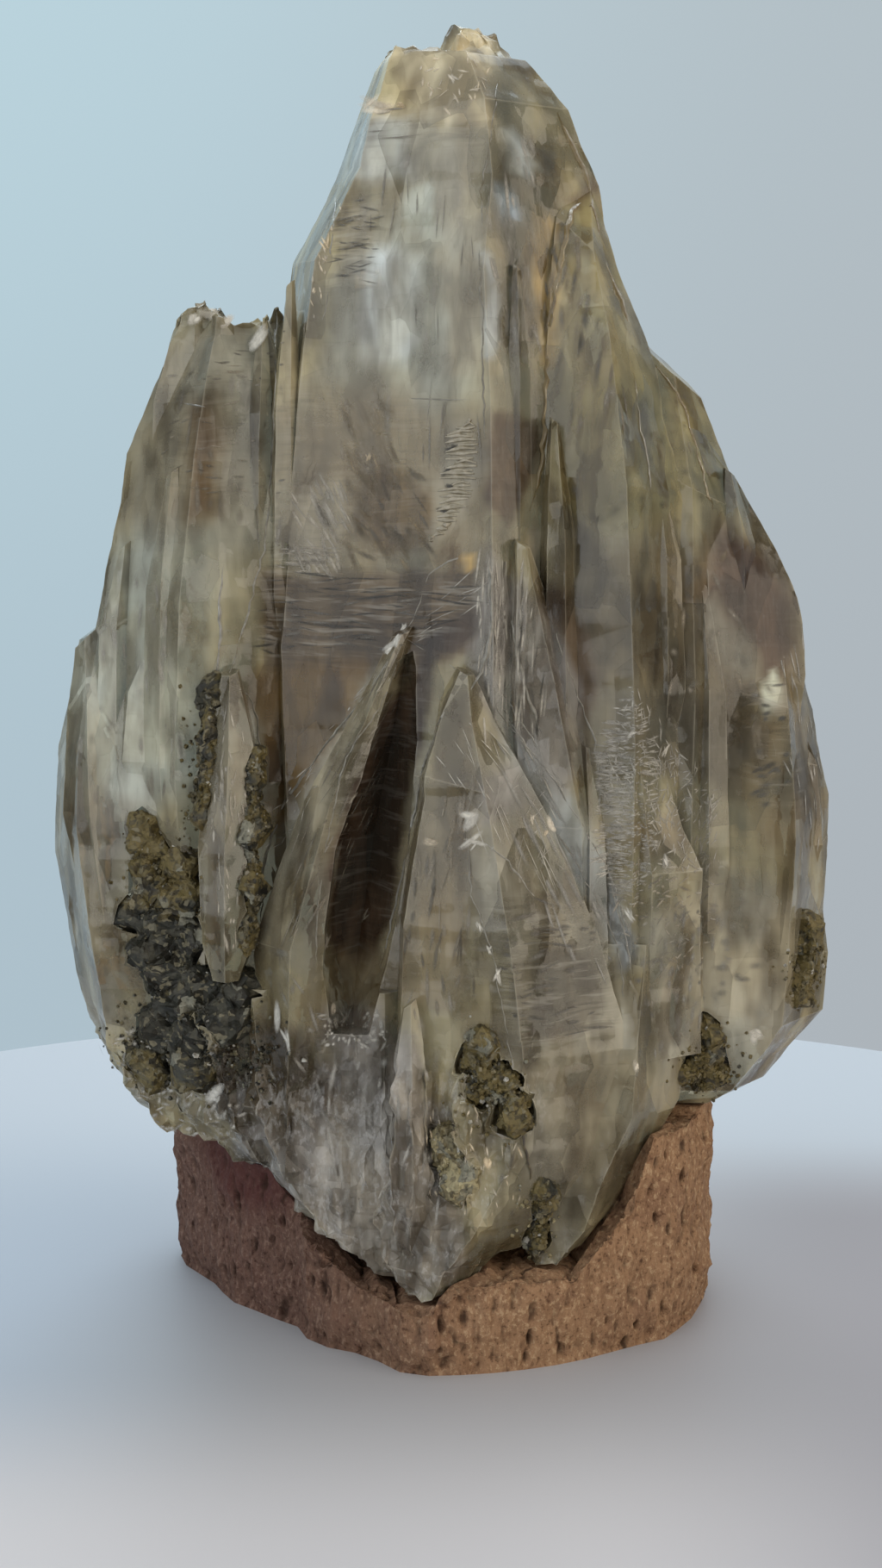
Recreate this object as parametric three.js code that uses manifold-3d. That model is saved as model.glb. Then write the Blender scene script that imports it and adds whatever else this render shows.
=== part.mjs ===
// A quartz crystal cluster with mica, standing in a carved cork stand.
// Units are millimetres, +Z is up, the front of the specimen faces -Y, and the origin is the centre of the
// stand's flat underside. Every blade of the cluster is a tapered six-sided prism grown along nearly the same
// axis; the blades are fused into one solid, and the mica sits in pockets of it.
import * as THREE from "three";
import { mergeVertices } from "three/addons/utils/BufferGeometryUtils.js";
import Module from "manifold-3d";

const wasm = await Module();
wasm.setup();

// ---------------------------------------------------------------- driving dimensions

const POCKET_GAP = 0.4; // clearance left round mica in its pocket
const SEAT_GAP = 0.7; // clearance left round the crystals in the stand
const PRISM_SIDES = 6;
const LEDGE_PITCH = 6.2; // height between growth ledges on a prism face
const LEDGE_DEPTH = 0.42; // how far the deepest ledge steps in or out
const LUMP_RELIEF = 0.22; // unevenness of a mica lump, as a share of its size

// The stand is a block of cork, seen from above: its front runs to a blunt corner, with a step on the left.
const STAND = {
  height: 16.4,
  topTilt: 0.075, // how far the top rises for each millimetre to the right
  sides: 52,
  rows: 6,
  waist: 0.35, // how far the middle of the wall is hollowed
  roughness: 0.4, // unevenness of the wall
  chamfer: 0.7, // rounding of the top and bottom rims
  plan: [
    [24.4, 4.5],
    [22.8, 12.4],
    [18.2, 19.0],
    [10.6, 22.8],
    [1.0, 24.0],
    [-8.4, 23.4],
    [-16.8, 20.6],
    [-22.4, 16.0],
    [-24.8, 9.0],
    [-21.0, 1.8],
    [-17.3, -3.9],
    [-12.6, -8.0],
    [-11.0, -11.6],
    [-6.4, -15.4],
    [-2.2, -19.2],
    [1.9, -18.8],
    [8.9, -17.0],
    [16.2, -13.2],
    [21.0, -8.8],
    [23.4, -3.5],
  ],
};

// The seat carved in the stand: a V open to the front, as (X, Z) points. Behind it the cork keeps its full
// height, and only the crystals' own sockets are cut.
const SEAT = {
  backWallY: 5.5,
  outline: [
    [-1.8, 5.2],
    [-6.6, 5.9],
    [-12.0, 9.4],
    [-15.2, 14.0],
    [-18.4, 24.0],
    [20.2, 24.0],
    [17.0, 16.4],
    [15.2, 11.8],
    [10.6, 7.2],
    [5.8, 7.7],
    [1.2, 7.0],
  ],
};

// Each station of a blade is [height, centre x, centre y, half width, half depth]. The slant tilts the tip:
// how far it rises for each millimetre to the right and each millimetre to the back.
const BLADES = [
  {
    name: "main crystal",
    turn: -80,
    seed: 1,
    slant: [-0.1, 0.1],
    stations: [
      [14, 2, -1, 12, 10],
      [30, 1, -0.5, 17.5, 12.5],
      [58, 1, 0, 18.2, 13],
      [78, 1, 0, 16.6, 12],
      [88.5, 0.9, 0, 14, 10.6],
      [96, 2.1, 0, 11.2, 9],
      [102, 1.9, 0, 8.9, 7.4],
      [106, 0.9, 0.2, 6.2, 5.4],
    ],
  },
  {
    name: "peak of the main crystal",
    turn: -62,
    seed: 21,
    slant: [-0.25, 0.1],
    stations: [
      [94, 3.4, 0, 8.8, 7],
      [101, 3.2, 0, 7.4, 6],
      [105.4, 3, 0.2, 3.8, 3.8],
      [108, 2.7, 0.4, 1.7, 2.2],
    ],
  },
  {
    name: "right shoulder, upper",
    turn: -80,
    seed: 2,
    slant: [-1.1, 0.2],
    stations: [
      [24, 14, -3, 7.4, 8.6],
      [50, 14.2, -3.4, 7.8, 9.4],
      [72, 13.4, -3.6, 6.8, 9.2],
      [84, 12.4, -3.4, 5, 7.2],
      [90.6, 11.6, -3, 3.1, 4.8],
      [95, 12, -2.4, 0.9, 1.6],
    ],
  },
  {
    name: "right shoulder, middle",
    turn: -75,
    seed: 3,
    slant: [-0.9, 0.2],
    stations: [
      [24, 18, -0.6, 9, 8.2],
      [55, 18.4, -0.6, 8.6, 8.8],
      [72.5, 18.4, -0.4, 7.2, 7],
      [81.4, 18.2, 0.4, 3.6, 3.4],
    ],
  },
  {
    name: "right wing",
    turn: -95,
    seed: 4,
    slant: [-1.1, 0.1],
    stations: [
      [20, 20, 1, 8, 7],
      [45, 22, 0.6, 9.4, 8.5],
      [58, 22.8, 0.6, 9, 8],
      [66.4, 22.4, 0.8, 8.8, 6.8],
      [71, 21.6, 0.9, 7.9, 5.8],
      [76, 20.6, 1, 4.8, 4.4],
    ],
  },
  {
    name: "right wing, low",
    turn: -60,
    seed: 5,
    slant: [-0.6, 0.1],
    stations: [
      [18.6, 21, -1, 3.4, 4],
      [20, 21.6, -1, 6, 5.2],
      [26, 24.4, -1, 8.6, 7],
      [35, 25, -1, 8.1, 7.6],
      [46, 25.2, -1, 7.8, 7.4],
      [54, 25.6, -0.8, 6.1, 6.2],
      [61.6, 26.4, -0.4, 3.6, 3.6],
    ],
  },
  {
    name: "left shoulder",
    turn: -105,
    seed: 6,
    slant: [0.06, 0.2],
    stations: [
      [20, -17, 0, 9, 8],
      [48, -18.8, 0, 11.5, 10],
      [62, -18.4, 0, 10.4, 9.6],
      [74, -17.8, 0, 8.3, 8.4],
      [81, -17.4, 0, 6, 7],
      [85.4, -17.1, 0, 3.8, 5],
    ],
  },
  {
    name: "flake on the left shoulder",
    turn: -86,
    seed: 22,
    slant: [0.5, 0],
    stations: [
      [66, -20.4, -3.4, 4.6, 1.6],
      [78, -20.6, -3.2, 3.4, 1.1],
      [85.6, -20.1, -3, 1.6, 0.6],
    ],
  },
  {
    name: "left wing, low",
    turn: -70,
    seed: 7,
    slant: [0.7, 0.1],
    stations: [
      [15.8, -21.6, -1, 3, 4],
      [19, -22, -1, 6, 5.4],
      [24, -22.6, -1, 8, 6.8],
      [34, -23.6, -1, 8.9, 7.8],
      [44, -24.4, -1, 9, 7.8],
      [52, -24.6, -0.6, 8.3, 7],
      [57, -26, 0, 5.6, 5],
      [60, -27.6, 0.2, 3, 3],
    ],
  },
  {
    name: "edge blade of the left wing",
    turn: -100,
    seed: 23,
    slant: [0.9, 0],
    stations: [
      [30, -27, -4, 2.6, 3],
      [44, -28.4, -3.8, 3.4, 3.6],
      [53, -28.8, -3.2, 2.6, 2.8],
      [58.4, -29.4, -2.8, 1.1, 1.4],
    ],
  },
  {
    name: "front crystal",
    turn: -84,
    seed: 8,
    slant: [-0.3, 0.3],
    stations: [
      [5.8, -1, -14.4, 2.4, 3.6],
      [8.4, -0.4, -12.6, 5, 6],
      [12, 1.8, -10.4, 9, 8.2],
      [17, 4.4, -9.4, 10.4, 8.6],
      [26, 5.4, -9, 10.8, 8.6],
      [36, 4.4, -9.4, 9, 8],
      [46, 3.2, -10.8, 5.8, 5.8],
      [53, 2.2, -12.4, 2.6, 2.6],
      [56.4, 2, -13.2, 0.7, 0.8],
    ],
  },
  {
    name: "crystal behind the front one",
    turn: -66,
    seed: 9,
    slant: [-0.6, 0.2],
    stations: [
      [24, 9.4, -6.4, 6, 6],
      [44, 9.2, -7.4, 5, 6.4],
      [56, 7.8, -9.2, 3, 4.4],
      [66.4, 6.4, -11.8, 0.7, 0.9],
    ],
  },
  {
    name: "etched crystal on the right",
    turn: -90,
    seed: 24,
    slant: [-0.4, 0.2],
    stations: [
      [24, 17, -5.4, 5.4, 5.6],
      [40, 17, -7, 4.8, 5.4],
      [50, 15.8, -8.6, 2.2, 3.4],
      [56, 15.2, -9.8, 0.6, 0.8],
    ],
  },
  {
    name: "leaning blade",
    turn: -100,
    seed: 10,
    slant: [0.4, 0.2],
    stations: [
      [17, -12, -6.6, 4.6, 6],
      [34, -11.4, -7.8, 4.2, 6.4],
      [46, -8.4, -9.4, 2.8, 4.6],
      [59.4, -3.1, -11.6, 0.8, 1],
    ],
  },
  {
    name: "finger crystal",
    turn: -90,
    seed: 11,
    slant: [0.2, 0.3],
    stations: [
      [30.8, -17.6, -10.2, 1.2, 1.3],
      [33.6, -17.5, -10, 2.3, 2.4],
      [42, -17.4, -9.8, 2.6, 2.8],
      [50, -17, -9.6, 2.2, 2.5],
      [56, -17, -9.8, 0.8, 0.9],
    ],
  },
  {
    name: "lower left crystal",
    turn: -72,
    seed: 12,
    slant: [0, 0],
    stations: [
      [6.4, -4, -11.2, 2, 3],
      [9.6, -5.8, -8.8, 6, 5.6],
      [14, -7.2, -7, 8.6, 7.2],
      [20, -7.8, -5.6, 11, 8.2],
      [30, -8, -4, 11, 8.6],
    ],
  },
  {
    name: "broken left foot",
    turn: -96,
    seed: 25,
    slant: [0.4, 0.1],
    stations: [
      [13.6, -14.4, -3.6, 3.6, 4],
      [18, -16.4, -3.6, 6.6, 6.4],
      [27, -18.4, -3, 7.8, 7.2],
      [38, -19, -2, 7, 7],
    ],
  },
  {
    name: "lower right crystal",
    turn: -66,
    seed: 13,
    slant: [0, 0],
    stations: [
      [7.8, 8.8, -12.2, 2, 3.2],
      [11, 9.6, -10.2, 4.6, 5.2],
      [15, 10.6, -8.8, 6.2, 6],
      [20, 12, -7, 8.4, 7.4],
      [34, 13, -4.4, 9, 8.2],
    ],
  },
  {
    name: "back crystal, left",
    turn: -110,
    seed: 14,
    slant: [0.6, -0.3],
    stations: [
      [14, -6, 5, 5, 4.4],
      [26, -9, 5.6, 9, 6.4],
      [50, -9.4, 5.8, 9.6, 7],
      [66, -8, 5.4, 7, 5.8],
      [77, -6.4, 5, 3, 3],
    ],
  },
  {
    name: "back crystal, right",
    turn: -70,
    seed: 15,
    slant: [-0.5, -0.3],
    stations: [
      [11, 6, 4.6, 4.6, 4],
      [24, 10, 5.4, 8.6, 6.4],
      [42, 11.4, 5.8, 8.8, 7],
      [54, 11, 5.4, 6.4, 5.6],
      [62, 10.4, 5, 2.8, 3],
    ],
  },
  {
    name: "back crystal, low",
    turn: -90,
    seed: 16,
    slant: [0.2, -0.4],
    stations: [
      [7.4, -1, 3, 4, 3.6],
      [16, 0, 5.6, 7.6, 6],
      [30, 0.6, 6.8, 6.8, 6],
      [41, 0.4, 7, 2.4, 2.6],
    ],
  },
];

// Thin bladelets beside and between the blades, as [x, y, foot, tip, half width, half depth, turn].
const BLADELETS = [
  [-12.6, -6.4, 56, 87, 1.5, 1.7, -70],
  [-15.0, -5.4, 46, 84.4, 1.7, 2.2, -85],
  [-22.6, -6.8, 42, 72, 2.2, 2.0, -100],
  [-27.2, -4.0, 44, 66, 2.0, 2.4, -80],
  [-30.4, -0.6, 30, 55, 1.6, 2.6, -95],
  [-24.8, -6.2, 46, 58, 2.0, 1.6, -75],
  [-6.8, -9.8, 18, 40, 2.2, 2.6, -95],
  [-2.6, -16.0, 9.4, 30, 2.2, 1.9, -80],
  [2.4, -16.4, 8.6, 25, 2.2, 1.6, -100],
  [6.2, -9.6, 60, 88, 1.3, 1.6, -85],
  [9.4, -10.4, 48, 76, 1.7, 1.8, -70],
  [12.2, -10.6, 26, 50, 1.8, 2.1, -95],
  [18.0, -8.4, 50, 72, 2.0, 1.6, -80],
  [22.2, -6.8, 34, 63, 2.0, 1.9, -95],
  [27.4, -5.0, 36, 55, 2.2, 2.2, -75],
  [31.0, -2.0, 38, 52, 1.6, 2.2, -100],
  [24.8, -3.0, 54, 72, 1.9, 2.8, -80],
  [-20.6, 7.0, 34, 62, 2.6, 2.0, -85],
  [-26.0, 4.6, 30, 54, 2.2, 2.4, -100],
  [-14.0, 7.8, 48, 79, 2.2, 2.0, -75],
  [-1.4, 10.0, 38, 71, 2.8, 2.2, -95],
  [4.2, 9.8, 52, 90, 2.4, 2.0, -80],
  [18.6, 6.4, 36, 67, 2.6, 2.0, -100],
  [25.8, 4.8, 28, 56, 2.6, 2.2, -85],
];

// Hollows cut into the front, in the same form as a blade.
const HOLLOWS = [
  {
    name: "dark hollow between the leaning blade and the front crystal",
    turn: -90,
    seed: 30,
    slant: [0.5, 0.1],
    stations: [
      [26.6, -7.4, -12.6, 1.8, 4],
      [32, -7, -11.8, 3.2, 6],
      [42, -5.6, -11.6, 3.4, 6.4],
      [50, -4, -12, 2.3, 5.4],
      [57.4, -2.7, -13, 0.9, 2.8],
    ],
  },
  {
    name: "broken notch beside the left shoulder",
    turn: -90,
    seed: 31,
    slant: [0.2, 0],
    stations: [
      [84.2, -16.4, -1, 2.4, 9],
      [88, -16, -1, 4, 9],
    ],
  },
  {
    name: "chip on the lower right edge",
    turn: -90,
    seed: 32,
    slant: [0, 0],
    stations: [
      [14, 26.6, -6, 4, 5],
      [20.4, 29.4, -6, 3.2, 4],
      [24.4, 34, -6, 1.4, 2],
    ],
  },
];

// Mica grown in the quartz: books of small angular lumps. Each lump is [centre x, y, z, half size x, y, z].
const MICA = [
  {
    name: "mica_mass_left",
    seed: 41,
    lumps: [
      [-24.6, -7.3, 42.6, 1.1, 1.3, 2.2],
      [-23.5, -7.5, 40.9, 1.8, 1.4, 1.8],
      [-21.7, -8.1, 39.8, 2.0, 1.4, 1.7],
      [-23.9, -7.4, 38.6, 1.8, 1.4, 1.9],
      [-21.2, -8.2, 37.6, 2.1, 1.5, 2.0],
      [-25.2, -6.9, 35.7, 2.1, 1.7, 1.8],
      [-22.9, -7.3, 34.9, 2.4, 1.8, 2.1],
      [-20.7, -7.9, 33.5, 1.8, 1.7, 2.5],
      [-23.9, -6.9, 32.7, 2.3, 1.8, 2.1],
      [-22.0, -7.2, 30.6, 2.7, 2.1, 2.4],
      [-19.3, -8.4, 30.1, 2.4, 1.8, 1.8],
      [-16.4, -8.9, 29.5, 2.6, 1.6, 1.8],
      [-21.4, -7.7, 28.2, 3.0, 1.8, 2.1],
      [-18.0, -8.8, 27.6, 2.6, 1.6, 2.1],
      [-23.4, -6.7, 25.7, 2.3, 1.8, 2.4],
      [-20.4, -8.4, 25.5, 2.8, 1.8, 2.2],
      [-24.6, -5.9, 22.6, 2.1, 1.7, 2.6],
      [-20.0, -8.3, 22.6, 2.3, 1.6, 2.2],
    ],
  },
  {
    name: "mica_seam_left",
    seed: 42,
    lumps: [
      [-18.3, -9.0, 53.4, 0.7, 1.6, 2.0],
      [-18.6, -9.8, 51.2, 0.8, 1.4, 1.9],
      [-18.9, -10.2, 48.8, 0.8, 1.3, 2.1],
      [-19.3, -10.3, 46.0, 0.8, 1.3, 2.3],
    ],
  },
  {
    name: "mica_seam_right",
    seed: 43,
    lumps: [
      [-15.0, -9.6, 48.4, 0.8, 1.8, 1.7],
      [-15.1, -10.4, 46.0, 0.6, 1.4, 2.4],
      [-15.4, -10.8, 42.6, 0.6, 1.2, 2.6],
      [-15.5, -10.8, 38.7, 0.6, 1.2, 2.7],
      [-15.8, -10.6, 35.0, 0.7, 1.2, 2.6],
    ],
  },
  {
    name: "mica_nodule_right",
    seed: 44,
    lumps: [
      [30.4, -3.2, 32.9, 2.4, 2.8, 2.4],
      [30.2, -3.8, 30.6, 2.3, 2.5, 2.1],
      [30.0, -4.2, 28.8, 1.5, 1.7, 1.7],
    ],
  },
  {
    name: "mica_pocket_right",
    seed: 45,
    lumps: [
      [21.9, -6.3, 25.4, 1.4, 1.7, 1.9],
      [22.0, -6.1, 23.2, 2.1, 1.8, 1.9],
      [20.7, -6.4, 21.8, 1.7, 1.7, 1.3],
      [22.6, -5.9, 21.6, 1.5, 1.6, 1.4],
    ],
  },
  {
    name: "mica_pocket_front",
    seed: 46,
    lumps: [
      [3.3, -15.6, 25.8, 2.0, 1.7, 2.2],
      [5.0, -16.2, 24.1, 2.0, 1.7, 1.9],
      [3.2, -15.8, 23.4, 1.6, 1.5, 1.7],
      [5.8, -16.9, 21.7, 1.5, 1.5, 2.2],
    ],
  },
  {
    name: "mica_specks_front",
    seed: 47,
    lumps: [
      [0.6, -15.7, 18.2, 1.5, 1.6, 2.1],
      [1.4, -16.6, 16.1, 1.4, 1.6, 2.0],
    ],
  },
  {
    name: "mica_vein_foot",
    seed: 48,
    lumps: [
      [8.1, -15.0, 13.4, 0.9, 1.3, 2.0],
      [7.7, -14.4, 10.9, 1.2, 1.5, 2.0],
    ],
  },
];

// ---------------------------------------------------------------- helpers

const radians = THREE.MathUtils.degToRad;
const mix = THREE.MathUtils.lerp;

// A repeatable number from -1 to 1 for a seed and an index.
function pick(seed, index) {
  const wave = Math.sin(seed * 127.1 + index * 311.7) * 43758.5453;
  return 2 * (wave - Math.floor(wave)) - 1;
}

// The stations' values at a height, by straight lines between them.
function between(stations, height) {
  const upper = Math.max(
    1,
    stations.findIndex((station) => station[0] >= height),
  );
  const low = stations[upper - 1];
  const high = stations[upper];
  const share = THREE.MathUtils.clamp((height - low[0]) / (high[0] - low[0]), 0, 1);
  return low.map((value, i) => mix(value, high[i], share));
}

// A closed three.js geometry as a manifold-3d solid.
function solidOf(geometry) {
  const bare = geometry.clone();
  bare.deleteAttribute("normal");
  bare.deleteAttribute("uv");
  const merged = mergeVertices(bare, 1e-4);
  const mesh = new wasm.Mesh({
    numProp: 3,
    vertProperties: merged.attributes.position.array,
    triVerts: new Uint32Array(merged.index.array),
  });
  return new wasm.Manifold(mesh);
}

// A manifold-3d solid as a three.js geometry.
function geometryOf(solid) {
  const made = solid.getMesh();
  const geometry = new THREE.BufferGeometry();
  geometry.setAttribute("position", new THREE.BufferAttribute(made.vertProperties, 3));
  geometry.setIndex(new THREE.BufferAttribute(made.triVerts, 1));
  return geometry;
}

const fused = (solids) => solids.reduce((whole, solid) => whole.add(solid));
const larger = (one, other) => (other.volume() > one.volume() ? other : one);
const largest = (solid) => solid.decompose().reduce(larger);
const carved = (solid, cutters) => cutters.reduce((left, cutter) => left.subtract(cutter), solid);

// A prism of the given sides whose rings are moved to where place(ring, side, radius) says.
function prism(sides, rings, place) {
  const geometry = new THREE.CylinderGeometry(1, 1, 1, sides, rings);
  const position = geometry.attributes.position;
  for (let i = 0; i < position.count; i++) {
    const ring = Math.round((position.getY(i) + 0.5) * rings);
    const radius = Math.hypot(position.getX(i), position.getZ(i));
    const side = Math.round((Math.atan2(position.getX(i), position.getZ(i)) * sides) / (2 * Math.PI));
    position.setXYZ(i, ...place(ring, (side + sides) % sides, radius));
  }
  return solidOf(geometry);
}

// ---------------------------------------------------------------- quartz

// The heights of a blade's rings: its stations, and a growth ledge at every pitch between them.
function ringHeights(blade) {
  const heights = blade.stations.map((station) => station[0]);
  const [foot, tip] = [heights[0], heights[heights.length - 1]];
  for (let ledge = foot + LEDGE_PITCH; ledge < tip - LEDGE_PITCH / 2; ledge += LEDGE_PITCH) {
    const height = ledge + pick(blade.seed, ledge) * LEDGE_PITCH * 0.3;
    if (heights.every((other) => Math.abs(other - height) > LEDGE_PITCH * 0.3)) heights.push(height);
  }
  return heights.sort((a, b) => a - b);
}

// One blade: a six-sided prism through its stations, with faces that step at each ring and a slanted tip.
function bladeSolid(blade, heights, ledgeDepth, growth) {
  const foot = heights[0];
  const tip = heights[heights.length - 1];
  return prism(PRISM_SIDES, heights.length - 1, (ring, side, radius) => {
    const [z, x, y, halfWidth, halfDepth] = between(blade.stations, heights[ring]);
    const size = growth + ledgeDepth * pick(blade.seed + side, ring) ** 3;
    const angle = radians(blade.turn + (side * 360) / PRISM_SIDES);
    const outX = radius * (halfWidth + size) * Math.cos(angle);
    const outY = radius * (halfDepth + size) * Math.sin(angle);
    const share = (z - foot) / (tip - foot);
    const tilt = (blade.slant[0] * outX + blade.slant[1] * outY) * share ** 3;
    const end = ring === 0 ? -growth : 0;
    return [x + outX, y + outY, z + tilt + end];
  });
}

const ledgedBlade = (blade) => bladeSolid(blade, ringHeights(blade), LEDGE_DEPTH, 0);

// A bladelet tapers from its foot to a slanted tip.
function bladeletSolid([x, y, foot, tip, halfWidth, halfDepth, turn]) {
  const height = tip - foot;
  const blade = {
    turn,
    seed: Math.round(10 * (foot + x)),
    slant: [0.8 * Math.sign(-x), 0],
    stations: [
      [foot, x, y, halfWidth * 0.5, halfDepth * 0.5],
      [foot + height * 0.2, x, y, halfWidth, halfDepth],
      [foot + height * 0.7, x * 0.99, y, halfWidth * 0.8, halfDepth * 0.85],
      [tip, x * 0.96, y * 0.97, halfWidth * 0.25, halfDepth * 0.3],
    ],
  };
  const heights = blade.stations.map((station) => station[0]);
  return bladeSolid(blade, heights, 0, 0);
}

// ---------------------------------------------------------------- mica

// An uneven lump, grown by a clearance when it is used to cut its own pocket.
function lumpSolid([x, y, z, halfX, halfY, halfZ], seed, growth) {
  const geometry = new THREE.IcosahedronGeometry(1, 0);
  const position = geometry.attributes.position;
  const point = new THREE.Vector3();
  for (let i = 0; i < position.count; i++) {
    point.fromBufferAttribute(position, i);
    const corner = Math.round(9 * point.x) + 19 * Math.round(9 * point.y) + 361 * Math.round(9 * point.z);
    const swell = 1 + LUMP_RELIEF * pick(seed, corner);
    position.setXYZ(
      i,
      x + point.x * (halfX * swell + growth),
      y + point.y * (halfY * swell + growth),
      z + point.z * (halfZ * swell + growth),
    );
  }
  return solidOf(geometry);
}

function micaSolid(mica, growth) {
  return fused(mica.lumps.map((lump, i) => lumpSolid(lump, mica.seed + i, growth)));
}

function quartzSolid() {
  const grown = fused([...BLADES.map(ledgedBlade), ...BLADELETS.map(bladeletSolid)]);
  const hollows = HOLLOWS.map(ledgedBlade);
  const pockets = MICA.map((mica) => micaSolid(mica, POCKET_GAP));
  return largest(carved(grown, [...hollows, ...pockets]));
}

// ---------------------------------------------------------------- stand

function standSolid() {
  const corners = STAND.plan.map(([x, y]) => new THREE.Vector3(x, y, 0));
  const plan = new THREE.CatmullRomCurve3(corners, true, "catmullrom", 0.35);
  const middle = new THREE.Vector3(0, 2.4, 0);
  const block = prism(STAND.sides, STAND.rows, (ring, side, radius) => {
    const share = ring / STAND.rows;
    const rim = ring === 0 || ring === STAND.rows ? STAND.chamfer : 0;
    const inset = rim + STAND.waist * Math.sin(Math.PI * share) + STAND.roughness * pick(50 + ring, side);
    const edge = plan.getPointAt(side / STAND.sides);
    const reach = edge.sub(middle);
    reach.setLength(reach.length() - inset).multiplyScalar(radius);
    const x = middle.x + reach.x;
    return [x, middle.y + reach.y, (STAND.height + STAND.topTilt * x) * share];
  });
  const outline = new THREE.Shape(SEAT.outline.map(([x, z]) => new THREE.Vector2(x, z)));
  const seat = new THREE.ExtrudeGeometry(outline, { depth: 60, bevelEnabled: false });
  seat.rotateX(Math.PI / 2);
  seat.translate(0, SEAT.backWallY, 0);
  const low = BLADES.filter((blade) => blade.stations[0][0] < STAND.height + 4);
  const sockets = low.map((blade) => {
    const heights = blade.stations.map((station) => station[0]);
    return bladeSolid(blade, heights, 0, SEAT_GAP);
  });
  return carved(block, [solidOf(seat), ...sockets]);
}

// ---------------------------------------------------------------- assembly

function node(name, solid, colour, roughness) {
  const material = new THREE.MeshStandardMaterial({ color: colour, roughness, metalness: 0 });
  const mesh = new THREE.Mesh(geometryOf(solid), material);
  mesh.name = name;
  return mesh;
}

const specimen = new THREE.Group();
specimen.add(node("quartz_cluster", quartzSolid(), 0x9a927e, 0.2));
specimen.add(node("cork_stand", standSolid(), 0x7c5a40, 0.9));
for (const mica of MICA) specimen.add(node(mica.name, micaSolid(mica, 0), 0x3f3c2e, 0.5));

export default specimen;
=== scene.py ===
"""Quartz crystals with mica on a cork stand: the finish, stage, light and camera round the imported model.

Every size is in metres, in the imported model's own frame: +Z up, the front faces -Y.
"""

import math
import random

import bmesh
import bpy
from bpy.props import FloatProperty, FloatVectorProperty, IntProperty, PointerProperty
from mathutils import Matrix, Vector, noise
from mathutils.bvhtree import BVHTree


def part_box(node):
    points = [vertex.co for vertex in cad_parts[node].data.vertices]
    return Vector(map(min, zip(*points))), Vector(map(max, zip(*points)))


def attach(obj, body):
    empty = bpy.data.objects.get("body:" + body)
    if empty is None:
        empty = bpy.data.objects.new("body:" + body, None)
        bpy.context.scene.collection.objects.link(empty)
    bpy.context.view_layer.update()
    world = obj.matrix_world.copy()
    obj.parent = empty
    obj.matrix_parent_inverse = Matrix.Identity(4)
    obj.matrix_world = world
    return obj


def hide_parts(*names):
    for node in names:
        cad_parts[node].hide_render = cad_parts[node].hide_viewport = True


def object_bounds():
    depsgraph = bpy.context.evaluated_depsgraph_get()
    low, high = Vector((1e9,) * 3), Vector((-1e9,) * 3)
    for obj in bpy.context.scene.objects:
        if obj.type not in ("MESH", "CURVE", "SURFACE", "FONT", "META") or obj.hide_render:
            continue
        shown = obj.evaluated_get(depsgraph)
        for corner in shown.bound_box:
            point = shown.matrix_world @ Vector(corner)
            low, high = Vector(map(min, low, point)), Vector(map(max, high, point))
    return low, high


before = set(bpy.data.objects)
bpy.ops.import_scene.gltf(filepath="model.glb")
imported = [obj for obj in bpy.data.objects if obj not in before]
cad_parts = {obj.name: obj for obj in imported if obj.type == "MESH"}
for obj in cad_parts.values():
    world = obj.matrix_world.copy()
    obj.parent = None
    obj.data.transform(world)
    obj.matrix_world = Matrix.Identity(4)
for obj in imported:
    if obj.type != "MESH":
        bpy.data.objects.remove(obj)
CAD_LOW, CAD_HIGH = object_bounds()

bl_info = {
    "name": "Quartz with mica",
    "version": (1, 0, 0),
    "blender": (4, 5, 0),
    "location": "View3D > Sidebar > Mineral",
    "description": "Builds a quartz crystal cluster with mica on its cork stand",
    "category": "Object",
}

MM = 0.001
BODY = "root"
QUARTZ_NODE = "quartz_cluster"
CORK_NODE = "cork_stand"
MERGE_DISTANCE = 2e-6
QUARTZ_IOR = 1.544

# The camera: where it stands, how far it looks down, its sensor's long side in mm, and its focal length
# and the frame's long side in pixels.
EYE = Vector((0, -190 * MM, 72.2 * MM))
TILT = math.radians(8)
SENSOR = 36
FOCAL_PIXELS = 2600
FRAME_PIXELS = 1820

# The upright plane on which places on the front of the quartz are given, as (x, z) in mm, as sighted from
# the eye.
SIGHT_Y = -12 * MM

# How strongly the skin is striated upright and level, outside the fields of GRAINS, and their softness in
# mm.
PLAIN_GRAIN = (0.1, 0.06)
GRAIN_SOFTNESS = 1.0

# The tones of the quartz, from smoke to milk, with a painted shadow for the hollow and a painted backdrop for
# its clear spots.
TONES = {
    # a painted shadow, for the hollow and the dark wedge beside it
    "painted shadow": (0.034, 0.02, 0.011),
    "umber": (0.062, 0.037, 0.022),
    "dark smoke": (0.08, 0.055, 0.03),
    "grey smoke": (0.095, 0.078, 0.05),
    "burnt honey": (0.115, 0.066, 0.018),
    "brown smoke": (0.14, 0.105, 0.055),
    "warm smoke": (0.2, 0.155, 0.09),
    "violet grey": (0.25, 0.225, 0.2),
    "olive gold": (0.28, 0.23, 0.1),
    "grey": (0.27, 0.24, 0.17),
    "honey": (0.37, 0.3, 0.14),
    "beige": (0.38, 0.34, 0.25),
    "cool grey": (0.32, 0.345, 0.35),
    "amber": (0.57, 0.39, 0.14),
    "silver": (0.44, 0.45, 0.37),
    # the pale blue backdrop seen through clear spots: painted light
    "painted backdrop": (0.42, 0.53, 0.64),
    "milk": (0.65, 0.69, 0.66),
    "cream": (0.8, 0.68, 0.44),
}

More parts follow.
